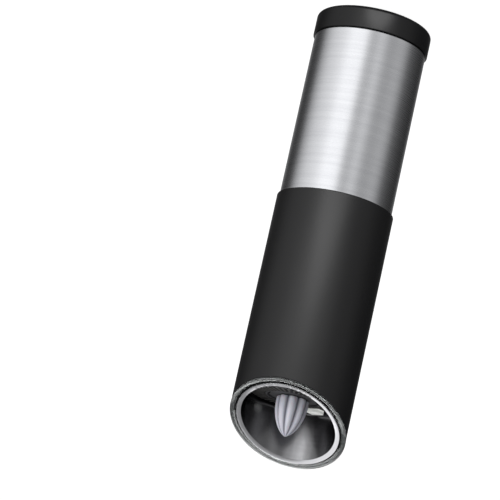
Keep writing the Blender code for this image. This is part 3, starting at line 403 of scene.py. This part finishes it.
# ---------------------------------------------------------------- seal and chamber floor
# Nitrile O-ring in the spigot's groove, whose grip holds the two halves together, and the moulded disc
# under the spigot's lip that keeps pepper out of the gearbox.
# Compression-moulded nitrile: soft, dark and almost without a highlight.
rubber = grained("nitrile_rubber", "#101011", "#18181a", 0.6, 0.5, 0.4)
seal_middle = SPIGOT_R + SEAL_PROUD - SEAL_R
fitted("o_ring", spun(arc(seal_middle, SEAL_HEIGHT, SEAL_R, 360, 20, 18)), rubber, "motor_module",
       "black_rubber", "seal_ring")
FLOOR_LOW, FLOOR_HIGH = 104.6, 106.4
FLOOR_IN, FLOOR_R = 6.0, 19.6
COUNTERSINK = 0.8
chamber = eased(spun([(FLOOR_R, FLOOR_HIGH), (FLOOR_R, FLOOR_LOW), (FLOOR_IN, FLOOR_LOW),
                      (FLOOR_IN, FLOOR_HIGH - COUNTERSINK), (FLOOR_IN + COUNTERSINK, FLOOR_HIGH)]), 0.15)
fitted("chamber_disc", chamber, satin_abs, "motor_module", "satin_black", "chamber_floor")

# ---------------------------------------------------------------- motor, control board and tilt switch
# Drawn steel motor can on a black end bell, a green glass-epoxy board round it, and a ball in a small can
# that closes the circuit when the mill is turned over. They are seen only with the mill taken apart.
# Solder-masked glass-epoxy laminate: a clear-coated, slightly cloudy green.
board = grained("glass_epoxy_board", "#0f4a28", "#18603a", 0.35, 0.4, 0.2, Coat_Weight=0.3)
finish_nodes(plain_steel, "motor_can", "tilt_switch_can", "tilt_ball", "gearbox_screw_1", "gearbox_screw_2",
             "gearbox_screw_3", "burr_spring")
finish_nodes(satin_abs, "motor_end_bell", "tilt_switch_base")
finish_nodes(board, "control_board")

# ---------------------------------------------------------------- planetary gearbox
# Two stages of moulded white acetal gears in a shared ring gear, between grey ABS plates, held by three
# screws. The motor's pinion is brass.
# Moulded acetal: milky, waxy white that lets a little light in. Moulded ABS: plain mid grey, dull.
acetal = grained("white_acetal", "#d9d8d0", "#e6e5de", 0.38, 0.6, 0.15, Subsurface_Weight=0.15,
                 Subsurface_Scale=0.001)
grey_abs = grained("grey_abs", "#6c6d70", "#7a7b7e", 0.45, 0.4, 0.3)
finish_nodes(acetal, "ring_gear", "first_carrier", "first_planet_1", "first_planet_2", "first_planet_3",
             "second_planet_1", "second_planet_2", "second_planet_3", "output_carrier")
finish_nodes(grey_abs, "gearbox_base", "gearbox_cover")
finish_nodes(brass, "motor_shaft")

# ---------------------------------------------------------------- grip sleeve
# Black ABS tube with a soft-touch lacquer: a matt skin whose highlight spreads wide and fades slowly.
# Its end is cut at a slant for the mouth.
GRIP_IN, GRIP_R = 24.3, 26.0
GRIP_END = 183.9
MOUTH = 184.8
SLANT = 27.5
SHEAR_LOW, SHEAR_HIGH = 140.0, 178.0
soft_touch = grained("soft_touch_lacquer", "#070708", "#0b0b0c", 0.40, 0.18, 0.12, IOR=1.5,
                     Specular_IOR_Level=0.38)


def slanted(shape):
    """Shear the top of a turned shape so that its end follows the mouth's slope."""
    for point in shape.verts:
        share = min(1.0, max(0.0, (point.co.z / MM - SHEAR_LOW) / (SHEAR_HIGH - SHEAR_LOW)))
        point.co.z += tan(radians(SLANT)) * point.co.y * share
    return shape


grip = spun([(GRIP_R, GRIP_END), (GRIP_R, SEAM), (GRIP_IN, SEAM), (GRIP_IN, GRIP_END)], 160)
fitted("grip_tube", slanted(eased(grip, 0.25, 3)), soft_touch, "grinder_module", "soft_touch_grip",
       "grip_sleeve")

# ---------------------------------------------------------------- clear barrel
# Injection-moulded acrylic pepper chamber. Its polished flange caps the grip's slanted end and shows as
# a clear rim; three slots at the foot take the motor housing's keys.
BARREL_IN, BARREL_R = 22.0, 24.0
BARREL_LOW = 101.0
RIM_R = 26.1
RIM_T = 0.6
RECESS_R = 23.4
RECESS = 0.9
SLOT_DEEP, SLOT_W, SLOT_H = 4.0, 3.0, 3.3
# Polished acrylic: clear, colourless and sharp in its reflections.
acrylic, tree, shader = surface("clear_acrylic", Roughness=0.02, IOR=1.49, Transmission_Weight=1.0)
haze = add(tree, "TexNoise", {"Vector": add(tree, "TexCoord").outputs["Object"], "Scale": 60.0,
                              "Detail": 2.0})
tint = add(tree, "Mix", {"Factor": haze.outputs["Fac"], 6: linear("#f0f3f3"), 7: linear("#f8fafa")},
           data_type="RGBA")
tree.links.new(tint.outputs[2], shader.inputs["Base Color"])
# Light piped along the wall fades, so the rim looks dark between its bright edges.
depth = add(tree, "VolumeAbsorption", {"Color": linear("#c4cccb"), "Density": 230.0})
tree.links.new(depth.outputs["Volume"], tree.nodes["Material Output"].inputs["Volume"])
barrel = spun([(BARREL_R, MOUTH - RIM_T), (BARREL_R, BARREL_LOW), (BARREL_IN, BARREL_LOW),
               (BARREL_IN, MOUTH - RECESS), (RECESS_R, MOUTH - RECESS), (RECESS_R, MOUTH), (RIM_R, MOUTH),
               (RIM_R, MOUTH - RIM_T)], 160)
barrel = slanted(eased(barrel, 0.13, 3))
for number in range(KEYS):
    slot = box((SLOT_DEEP, SLOT_W, 2 * SLOT_H), (KEY_R, 0.0, BARREL_LOW), 360.0 * number / KEYS, 0.2)
    barrel = carve(barrel, slot)
fitted("clear_chamber", barrel, acrylic, "grinder_module", "clear_acrylic", "clear_barrel")

# ---------------------------------------------------------------- mouth liner
# Pressed stainless steel bowl that lines the mouth, satin inside, with a bright lip rolled over the
# barrel's end. It is drawn from sheet, spun satin in a lathe and pushed in from the mouth.
LINER_IN, LINER_R = 21.2, 21.7
LINER_ROUND = 1.9
LINER_SPARE = 20               # how far the wall runs past the mouth before the slanted cut
MOUTH_FLOOR = 173.4
LIP_R = 23.1
LIP_T = 0.6
LIP_ROLL = 0.25
LIP_DISH = 0.4                 # how far the lip's face falls towards the bowl
# Radii over which the lip is kept free of the painted shade, and heights above the mouth's floor over which
# that painted shade fades out.
LIP_START_R, LIP_UNSHADED_R = 21.25, 21.5
FOOT_SHADE_LOW, FOOT_SHADE_HIGH = 0.3, 2.6
# 18/8 stainless, spun satin: fine rings round the bowl draw each highlight out down its wall.
satin_steel, tree, shader = surface("satin_stainless_steel", Metallic=1.0, Anisotropic=0.4,
                                    Anisotropic_Rotation=0.25)
place = add(tree, "TexCoord").outputs["Object"]
lines = add(tree, "TexNoise", {"Vector": add(tree, "Mapping", {
    "Vector": place, "Scale": (60.0, 60.0, 3000.0)}).outputs["Vector"], "Scale": 1.0, "Detail": 4.0})
tone = add(tree, "Mix", {"Factor": lines.outputs["Fac"], 6: linear("#6e6e70"), 7: linear("#7c7c7e")},
           data_type="RGBA")
# Painted shade: the base colour darkens in the round at the bowl's foot, but not on the lip.
height = add(tree, "SeparateXYZ", {"Vector": place}).outputs["Z"]
unshaded = add(tree, "MapRange", {"Value": height, "From Min": (MOUTH_FLOOR + FOOT_SHADE_LOW) * MM,
                               "From Max": (MOUTH_FLOOR + FOOT_SHADE_HIGH) * MM}, interpolation_type="SMOOTHSTEP")
flat = add(tree, "Mapping", {"Vector": place, "Scale": (1.0, 1.0, 0.0)})
reach = add(tree, "VectorMath", {0: flat.outputs["Vector"]}, operation="LENGTH")
lip = add(tree, "MapRange", {"Value": reach.outputs["Value"], "From Min": LIP_START_R * MM,
                             "From Max": LIP_UNSHADED_R * MM})
unshaded = add(tree, "Math", {0: unshaded.outputs["Result"], 1: lip.outputs["Result"]}, operation="MAXIMUM")
tone = add(tree, "Mix", {"Factor": unshaded.outputs[0], 6: linear("#1a1a1b"), 7: tone.outputs[2]},
           data_type="RGBA")
tree.links.new(tone.outputs[2], shader.inputs["Base Color"])
gloss = add(tree, "MapRange", {"Value": lines.outputs["Fac"], "To Min": 0.13, "To Max": 0.24})
tree.links.new(gloss.outputs["Result"], shader.inputs["Roughness"])
along = add(tree, "Tangent", direction_type="RADIAL", axis="Z")
tree.links.new(along.outputs["Tangent"], shader.inputs["Tangent"])
above = MOUTH + LINER_SPARE
foot_round = (LINER_IN - LINER_ROUND, MOUTH_FLOOR + LINER_ROUND)
liner = spun([(LINER_R, above)] + arc(*foot_round, LINER_R - LINER_IN + LINER_ROUND, 0, -90)
             + arc(*foot_round, LINER_ROUND, -90, 0) + [(LINER_IN, above)], 160)
bmesh.ops.bisect_plane(liner, geom=liner.verts[:] + liner.edges[:] + liner.faces[:], dist=1e-7,
                       plane_co=(0, 0, MOUTH * MM), plane_no=(0, -sin(radians(SLANT)), cos(radians(SLANT))),
                       clear_outer=True)


def mean_radius(edges):
    """Average distance of a loop from the axis."""
    return sum(hypot(e.verts[0].co.x, e.verts[0].co.y) for e in edges) / len(edges)


def open_loops(shape):
    """The shape's open edges as separate loops, from the smallest to the largest."""
    waiting = {e for e in shape.edges if e.is_boundary}
    loops = []
    while waiting:
        loop, reach = [], [waiting.pop()]
        while reach:
            edge = reach.pop()
            loop.append(edge)
            near = {e for v in edge.verts for e in v.link_edges if e in waiting}
            waiting -= near
            reach.extend(near)
        loops.append(loop)
    return sorted(loops, key=mean_radius)


inside, outside = open_loops(liner)
for point in {v for e in inside for v in e.verts}:
    point.co.z = max(point.co.z - LIP_DISH * MM, (MOUTH_FLOOR + FOOT_SHADE_LOW) * MM)
bmesh.ops.translate(liner, vec=(0, 0, -LIP_T * MM), verts=list({v for e in outside for v in e.verts}))
rings = []
for height in (MOUTH, MOUTH - LIP_T):
    ring = bmesh.ops.create_circle(liner, radius=LIP_R * MM, segments=160)["verts"]
    for point in ring:
        point.co.z = height * MM + tan(radians(SLANT)) * point.co.y
    rings.append(list({e for v in ring for e in v.link_edges}))
for near, far in ((inside, rings[0]), (rings[0], rings[1]), (rings[1], outside)):
    bmesh.ops.bridge_loops(liner, edges=near + far)
bmesh.ops.recalc_face_normals(liner, faces=liner.faces)
fitted("mouth_bowl", eased(liner, LIP_ROLL, 5), satin_steel, "grinder_module", "plain_steel", "mouth_liner")

# ---------------------------------------------------------------- burr housing
# Black ABS moulding that closes the chamber: its raised floor is the mouth's floor, and its pocket holds
# the burr ring. Ground pepper lands on it, so it is never quite clean.
FLOOR_BOSS_R = 19.0
PLATE_TOP, PLATE_UNDER = 172.6, 170.7
BURR_NOSE_R, BURR_R = 12.3, 13.6
BURR_LOW = 157.3
POCKET_IN, POCKET_R = 13.9, 15.2
WALL_IN, WALL_LOW = 19.9, 153.0
FLOOR_HOLE_R = BURR_NOSE_R + 0.3
WINDOW = (4.0, 6.4, 4.3)
WINDOW_ANGLE, WINDOW_R = 114.6, 16.6
WINDOW_LOW = 170.9
WINDOW_ROOM, OPENING_H = 0.4, 8.0
FLOOR_STRIPES = 44
burr_body = spun([(FLOOR_HOLE_R, MOUTH_FLOOR), (FLOOR_BOSS_R, MOUTH_FLOOR), (FLOOR_BOSS_R, PLATE_TOP),
                  (LINER_R, PLATE_TOP), (LINER_R, WALL_LOW), (WALL_IN, WALL_LOW), (WALL_IN, PLATE_UNDER),
                  (POCKET_R, PLATE_UNDER), (POCKET_R, BURR_LOW), (POCKET_IN, BURR_LOW),
                  (POCKET_IN, PLATE_UNDER), (FLOOR_HOLE_R, PLATE_UNDER)])
opening = box((WINDOW[0] + WINDOW_ROOM, WINDOW[1] + WINDOW_ROOM, OPENING_H),
              (WINDOW_R, 0.0, MOUTH_FLOOR - 1.0), WINDOW_ANGLE, 0.3)
burr_body = carve(eased(burr_body, 0.2), opening)
# The same ABS, dulled by oily pepper dust. Its base colour is painted with fine pale grey radial stripes; the
# shape itself has no ribs.
dusty_abs = grained("dusty_black_abs", "#0b0b0b", "#161514", 0.75, 0.2, 0.4, Specular_IOR_Level=0.2)
tree = dusty_abs.node_tree
shader = tree.nodes["Principled BSDF"]
plain = shader.inputs["Base Color"].links[0].from_socket
around = add(tree, "TexGradient", {"Vector": add(tree, "TexCoord").outputs["Object"]}, gradient_type="RADIAL")
phase = add(tree, "Math", {0: around.outputs["Fac"], 1: 2 * pi * FLOOR_STRIPES}, operation="MULTIPLY")
wave = add(tree, "Math", {0: phase.outputs[0]}, operation="SINE")
pale_stripes = add(tree, "MapRange", {"Value": wave.outputs[0], "From Min": -0.2, "From Max": 1.0},
           interpolation_type="SMOOTHSTEP")
tone = add(tree, "Mix", {"Factor": pale_stripes.outputs["Result"], 6: plain, 7: linear("#6a6967")}, data_type="RGBA")
tree.links.new(tone.outputs[2], shader.inputs["Base Color"])
fitted("burr_carrier", burr_body, dusty_abs, "grinder_module", "satin_black", "burr_housing")
finish_nodes(satin_abs, "burr_retainer", "led_conduit")
finish_nodes(brass, "shaft_bush")

# ---------------------------------------------------------------- lamp and window
# White LED behind a small clear window let into the mouth's floor, which lights the food.
# The window is a click-in acrylic moulding, ribbed inside to spread the light.
window = box(WINDOW, (WINDOW_R, 0.0, WINDOW_LOW + WINDOW[2] / 2), WINDOW_ANGLE, 0.35, 3)
# Frosted, rippled acrylic with sharp glints. Painted highlight: its base colour is mottled grey and
# near-white, the near-white standing for glints off its ribs. Painted light: it glows faintly by its own
# emission.
optic, tree, shader = surface("lamp_window_acrylic", Roughness=0.12, IOR=1.49, Transmission_Weight=0.2,
                              Specular_IOR_Level=0.8, Emission_Strength=0.3)
ribs = add(tree, "TexWave", {"Vector": add(tree, "TexCoord").outputs["Object"], "Scale": 130.0,
                             "Distortion": 4.0, "Detail": 3.0}, bands_direction="Z")
tint = add(tree, "Mix", {"Factor": ribs.outputs["Fac"], 6: linear("#8d948a"), 7: linear("#fbfdf8")},
           data_type="RGBA")
tree.links.new(tint.outputs[2], shader.inputs["Base Color"])
relief = add(tree, "Bump", {"Height": ribs.outputs["Fac"], "Strength": 0.3, "Distance": 0.1 * MM})
tree.links.new(relief.outputs["Normal"], shader.inputs["Normal"])
fitted("lamp_window", window, optic, "grinder_module", "clear_acrylic", "led_lens")
finish_nodes(optic, "led_lamp")

# ---------------------------------------------------------------- burrs
# Sintered ceramic ring, pressed into the housing, and the rotor that turns inside it on the hex shaft.
# Both have helical teeth, coarse at the inlet and fine at the mouth.
BURR_EXIT_R, THROAT_R, INLET_R = 11.3, 9.9, 11.6
THROAT = 168.0
SHOULDER_UNDER_FLOOR = 170.4
RING_RIDGES, ROTOR_RIDGES = 24, 12
RIDGE = 0.5
TWIST = 1.2                    # turn of the teeth from foot to mouth, in teeth
ROTOR_LOW, ROTOR_HIGH = 160.0, 173.0
ROTOR_R, ROTOR_INLET_R = 10.7, 5.6
SEAT_R, SEAT_H = 4.8, 6.0
BORE_R = 3.2
ROTOR_FACE = 1.5
TOOTH_ROOM = 0.4               # plain land left beside the teeth
# Alumina with a grey pigment, fired and left unglazed: dry, dark and slightly speckled.
ceramic = grained("grey_ceramic", "#3a3a3c", "#58585a", 0.6, 0.12, 0.3, IOR=1.6, Specular_IOR_Level=0.3)


def saw(angle, ridges, lift):
    """Saw-tooth from 0 to 1 round a burr, leaning by a lift in teeth."""
    return (angle / (2 * pi) * ridges + lift) % 1.0


def ring_teeth(radius, angle, z):
    """Teeth cut outwards into the ring's bore; its outside stays round."""
    if radius > BURR_NOSE_R - TOOTH_ROOM:
        return radius
    return radius + RIDGE * saw(angle, RING_RIDGES, TWIST * (z - BURR_LOW) / (MOUTH_FLOOR - BURR_LOW))


def rotor_teeth(radius, angle, z):
    """Teeth cut inwards into the rotor's cone, deeper towards its wide end; its bore stays round."""
    if radius < SEAT_R + 0.3:
        return radius
    lift = -2 * TWIST * (z - ROTOR_LOW) / (ROTOR_HIGH - ROTOR_LOW)
    return radius - RIDGE * radius / ROTOR_R * saw(angle, ROTOR_RIDGES, lift)


def slope(start, end, steps):
    """Evenly spaced points along a straight outline between two points."""
    (r1, z1), (r2, z2) = start, end
    return [(r1 + (r2 - r1) * i / steps, z1 + (z2 - z1) * i / steps) for i in range(steps + 1)]


ring = spun([(BURR_NOSE_R, MOUTH_FLOOR), (BURR_NOSE_R, SHOULDER_UNDER_FLOOR), (BURR_R, SHOULDER_UNDER_FLOOR),
             (BURR_R, BURR_LOW)] + slope((INLET_R, BURR_LOW), (THROAT_R, THROAT), 8)
            + slope((THROAT_R, THROAT), (BURR_EXIT_R, MOUTH_FLOOR), 5)[1:], RING_RIDGES * 8)
fitted("burr_ring_toothed", reshaped(ring, ring_teeth), ceramic, "grinder_module", "ceramic", "burr_ring",
       sharp=25)
rotor = spun([(BORE_R, ROTOR_HIGH), (ROTOR_R - ROTOR_FACE, ROTOR_HIGH)]
             + slope((ROTOR_R, ROTOR_HIGH), (ROTOR_INLET_R, ROTOR_LOW), 8)
             + [(SEAT_R, ROTOR_LOW), (SEAT_R, ROTOR_LOW + SEAT_H), (BORE_R, ROTOR_LOW + SEAT_H)],
             ROTOR_RIDGES * 16)
fitted("burr_rotor_toothed", reshaped(rotor, rotor_teeth), ceramic, "burr_rotor", "ceramic", "burr_rotor",
       sharp=25)
finish_nodes(plain_steel, "drive_shaft", "retaining_ring")

# ---------------------------------------------------------------- adjuster knob
# Grey-lavender acetal knob on the shaft's end, slightly translucent. Its eight finger ribs meet in
# narrow grooves and run up to a blunt tip; turning it sets how fine the mill grinds.
KNOB_LOW, KNOB_TOP = 173.3, 190.2
KNOB_R = 7.1
KNOB_BASE, KNOB_EDGE = 2.0, 0.3
KNOB_BORE_R, KNOB_BORE_TOP = 2.4, 184.0
KNOB_TURN = -15.3
ROUNDED = 0.55                 # share of an ellipse mixed into the pointed arch
FLUTES = 8
FLUTE_DEPTH = 0.2              # share of the radius
OGIVE_STEPS = 28
# Pigmented acetal, moulded: waxy, pale lavender-grey, and a little light passes through its edges.
knob_acetal = grained("lavender_grey_acetal", "#ceceda", "#d8d8e2", 0.3, 0.5, 0.1, Subsurface_Weight=0.1,
                      Subsurface_Scale=0.001)
# Painted shade: the base colour darkens in the grooves, towards a darker grey-lavender.
tree = knob_acetal.node_tree
shader = tree.nodes["Principled BSDF"]
unshaded = shader.inputs["Base Color"].links[0].from_socket
around = add(tree, "TexGradient", {"Vector": add(tree, "TexCoord").outputs["Object"]}, gradient_type="RADIAL")
phase = add(tree, "Math", {0: around.outputs["Fac"], 1: pi * FLUTES, 2: -radians(KNOB_TURN) * FLUTES / 2},
            operation="MULTIPLY_ADD")
crest = add(tree, "Math", {0: add(tree, "Math", {0: phase.outputs[0]}, operation="COSINE").outputs[0]},
            operation="ABSOLUTE")
groove_shade = add(tree, "MapRange", {"Value": crest.outputs[0], "From Max": 0.8}, interpolation_type="SMOOTHSTEP")
tone = add(tree, "Mix", {"Factor": groove_shade.outputs["Result"], 6: linear("#70707c"), 7: unshaded}, data_type="RGBA")
tree.links.new(tone.outputs[2], shader.inputs["Base Color"])
ogive_height = KNOB_TOP - KNOB_LOW - KNOB_BASE
ogive_r = (ogive_height ** 2 + KNOB_R ** 2) / (2 * KNOB_R)
side = [(0.0, KNOB_TOP)]
for number in range(1, OGIVE_STEPS):
    rise = ogive_height * cos(pi / 2 * number / OGIVE_STEPS) ** 0.8
    pointed = (ogive_r ** 2 - rise ** 2) ** 0.5 - ogive_r + KNOB_R
    rounded = KNOB_R * (1 - (rise / ogive_height) ** 2) ** 0.5
    side.append((pointed + (rounded - pointed) * ROUNDED, KNOB_LOW + KNOB_BASE + rise))


def fluted(radius, angle, z):
    """Eight ribs; the bore stays round."""
    if radius < KNOB_BORE_R + 0.1 and z < KNOB_BORE_TOP + 0.1:
        return radius
    groove = 1 - abs(cos(FLUTES * (angle - radians(KNOB_TURN)) / 2))
    return radius * (1 - FLUTE_DEPTH * groove)


knob = spun(side + wall(KNOB_R, KNOB_LOW + KNOB_BASE, KNOB_LOW + KNOB_EDGE, 2)
            + [(KNOB_R - KNOB_EDGE, KNOB_LOW), (KNOB_BORE_R, KNOB_LOW), (KNOB_BORE_R, KNOB_BORE_TOP),
               (0.0, KNOB_BORE_TOP)], FLUTES * 20)
fitted("ribbed_knob", reshaped(knob, fluted), knob_acetal, "adjuster_knob", "knob_acetal", "adjuster_knob",
       sharp=50)

# ---------------------------------------------------------------- floor and backdrop
# Pale seamless paper: a floor and a dome behind it, lit evenly so that they blend. The floor lies clear of
# the end cap when it is unscrewed.
FLOOR_WIDE = 4.5
FLOOR_Z = -10.0
DOME_R = 5.5
FLOOR_GLOW = 0.93
paper, tree, shader = surface("pale_paper_floor", Roughness=0.9)
grain = add(tree, "TexNoise", {"Vector": add(tree, "TexCoord").outputs["Object"], "Scale": 300.0})
tone = add(tree, "Mix", {"Factor": grain.outputs["Fac"], 6: linear("#e9e9e9"), 7: linear("#efefef")},
           data_type="RGBA")
tree.links.new(tone.outputs[2], shader.inputs["Base Color"])
shader.inputs["Emission Color"].default_value = (1.0, 1.0, 1.0, 1.0)
shader.inputs["Emission Strength"].default_value = FLOOR_GLOW
backdrop, tree, shader = surface("white_backdrop", Roughness=1.0)
shader.inputs["Base Color"].default_value = (0.0, 0.0, 0.0, 1.0)
shader.inputs["Emission Color"].default_value = (1.0, 1.0, 1.0, 1.0)
shader.inputs["Emission Strength"].default_value = 1.0


def staged(name, shape, material, **seen):
    """Make a stage object, and say which rays see it."""
    made = placed(name, shape)
    made.data.materials.append(material)
    for ray, value in seen.items():
        setattr(made, "visible_" + ray, value)


ground = bmesh.new()
bmesh.ops.create_grid(ground, x_segments=1, y_segments=1, size=FLOOR_WIDE)
bmesh.ops.translate(ground, vec=(0, 0, FLOOR_Z * MM), verts=ground.verts)
staged("floor", ground, paper, glossy=False, transmission=False, shadow=False)
dome = bmesh.new()
bmesh.ops.create_uvsphere(dome, u_segments=48, v_segments=24, radius=DOME_R)
staged("backdrop_dome", dome, backdrop, glossy=False, diffuse=False, shadow=False)

# ---------------------------------------------------------------- lights
# A tall light tent stands round the mill: a broad key just left of the camera, a weaker fill on the right,
# and dark cloth at the sides, which gives the metal its long soft bands. Softboxes outside it are flagged
# off, so that each lights only the pieces whose highlights it makes.
CAMERA_AZIMUTH = radians(-15.273)
TENT_R = 1.0
TENT_LOW, TENT_HIGH = -0.9, 1.1
TENT_GLOW = 1.35
ROOM_GLOW = 0.12
MIDDLE = (0.0, 0.0, 0.1)
tent_cloth, tree, shader = surface("light_tent_cloth", Roughness=1.0)
shader.inputs["Base Color"].default_value = (0.0, 0.0, 0.0, 1.0)
turn = add(tree, "Mapping", {"Vector": add(tree, "TexCoord").outputs["Object"],
                             "Rotation": (0.0, 0.0, pi / 2 - CAMERA_AZIMUTH)})
around = add(tree, "TexGradient", {"Vector": turn.outputs["Vector"]}, gradient_type="RADIAL")
bands = add(tree, "ValToRGB", {"Fac": around.outputs["Fac"]})
bands.color_ramp.interpolation = "B_SPLINE"
# Angle from the camera, anticlockwise from above, and brightness.
TENT_BANDS = [(180, 0.34), (163, 0.2), (146, 0.02), (116, 0.03), (102, 0.30), (82, 0.62), (55, 0.74),
              (34, 1.1), (12, 1.02), (2, 0.42), (-10, 0.42), (-22, 0.68), (-38, 0.24), (-60, 0.40),
              (-75, 0.36), (-92, 0.06), (-130, 0.02), (-150, 0.02), (-166, 0.2), (-180, 0.34)]
for degrees, level in TENT_BANDS:
    place = (degrees + 180) / 360
    if degrees in (-180, 180):
        stop = bands.color_ramp.elements[0 if degrees < 0 else -1]
        stop.position = place
    else:
        stop = bands.color_ramp.elements.new(place)
    stop.color = (level, level, level, 1.0)
tree.links.new(bands.outputs["Color"], shader.inputs["Emission Color"])
shader.inputs["Emission Strength"].default_value = TENT_GLOW
tent = bmesh.new()
bmesh.ops.create_cone(tent, cap_ends=False, segments=96, radius1=TENT_R, radius2=TENT_R,
                      depth=TENT_HIGH - TENT_LOW)
bmesh.ops.translate(tent, vec=(0, 0, (TENT_LOW + TENT_HIGH) / 2), verts=tent.verts)
staged("light_tent", tent, tent_cloth, camera=False, shadow=False)


def softbox(name, place, aim, width, height, brightness, *only):
    """Rectangular area light at a place, facing another; it lights only the pieces named last."""
    data = bpy.data.lights.new(name, "AREA")
    data.shape = "RECTANGLE"
    data.size, data.size_y = width, height
    data.energy = brightness * 4 * width * height
    made = bpy.data.objects.new(name, data)
    bpy.context.scene.collection.objects.link(made)
    made.location = place
    made.rotation_euler = (Vector(aim) - Vector(place)).to_track_quat("-Z", "Y").to_euler()
    made.visible_camera = False
    made.light_linking.receiver_collection = bpy.data.collections.new(name)
    for piece in only:
        made.light_linking.receiver_collection.objects.link(bpy.data.objects[piece])


def toward(turn, height, reach):
    """Point at a turn from the camera (positive to the left of the view), a height angle and a distance."""
    around = CAMERA_AZIMUTH - pi / 2 + radians(turn)
    return (reach * cos(radians(height)) * cos(around), reach * cos(radians(height)) * sin(around),
            MIDDLE[2] + reach * sin(radians(height)))


MOUTH_PLACE = (0.0, 0.0, MOUTH * MM)
softbox("grip_softbox", toward(5, -17, 1.0), MIDDLE, 1.0, 0.8, 2.8, "grip_tube")
softbox("knob_softbox", toward(65, 25, 0.9), MOUTH_PLACE, 0.5, 0.6, 1.4, "ribbed_knob")
softbox("cap_softbox", toward(-5, -17, 1.0), MIDDLE, 0.9, 0.8, 3.8, "end_cap_body")
softbox("overhead_softbox", (0.3, 0.4, 1.05), MOUTH_PLACE, 0.8, 1.0, 0.8, "mouth_bowl", "ribbed_knob",
        "burr_carrier", "burr_ring_toothed", "burr_rotor_toothed", "lamp_window")
softbox("lip_softbox", (0.45, 0.3, 1.05), MOUTH_PLACE, 0.4, 0.55, 2.3, "mouth_bowl")
softbox("rear_softbox", (0.24, 0.75, 0.8), MOUTH_PLACE, 0.7, 0.5, 2.2, "mouth_bowl", "clear_chamber")
softbox("rim_softbox", (0.25, 0.215, 1.07), (0.25, 0.0, MOUTH * MM), 0.5, 0.3, 1.5, "clear_chamber")
softbox("bowl_softbox", toward(47, -8, 1.0), MOUTH_PLACE, 0.6, 0.5, 9.0, "mouth_bowl")

world = bpy.data.worlds.new("dim_studio")
bpy.context.scene.world = world
world.use_nodes = True
world.node_tree.nodes["Background"].inputs["Color"].default_value = (ROOM_GLOW, ROOM_GLOW, ROOM_GLOW, 1.0)

# ---------------------------------------------------------------- camera
# A long lens looks down on the mill, rolled a little past half a turn, so that the mill seems to be held
# mouth down.
CAMERA_DISTANCE, CAMERA_HEIGHT = 1.250, 0.4247
CAMERA_YAW, CAMERA_PITCH, CAMERA_ROLL = radians(-1.479), radians(14.008), radians(192.677)
LENS, SENSOR = 212.6, 36.0
FAR_END = 12.0                 # beyond the backdrop
camera_data = bpy.data.cameras.new("long_lens")
camera_data.lens = LENS
camera_data.sensor_width = SENSOR
camera_data.clip_end = FAR_END
camera = bpy.data.objects.new("long_lens", camera_data)
bpy.context.scene.collection.objects.link(camera)
camera_place = (CAMERA_DISTANCE * sin(CAMERA_AZIMUTH), -CAMERA_DISTANCE * cos(CAMERA_AZIMUTH), CAMERA_HEIGHT)
camera.matrix_world = (Matrix.Translation(camera_place)
                       @ Matrix.Rotation(CAMERA_AZIMUTH + CAMERA_YAW, 4, "Z")
                       @ Matrix.Rotation(pi / 2 - CAMERA_PITCH, 4, "X")
                       @ Matrix.Rotation(CAMERA_ROLL, 4, "Z"))
bpy.context.scene.camera = camera
bpy.context.scene.view_settings.view_transform = "Standard"
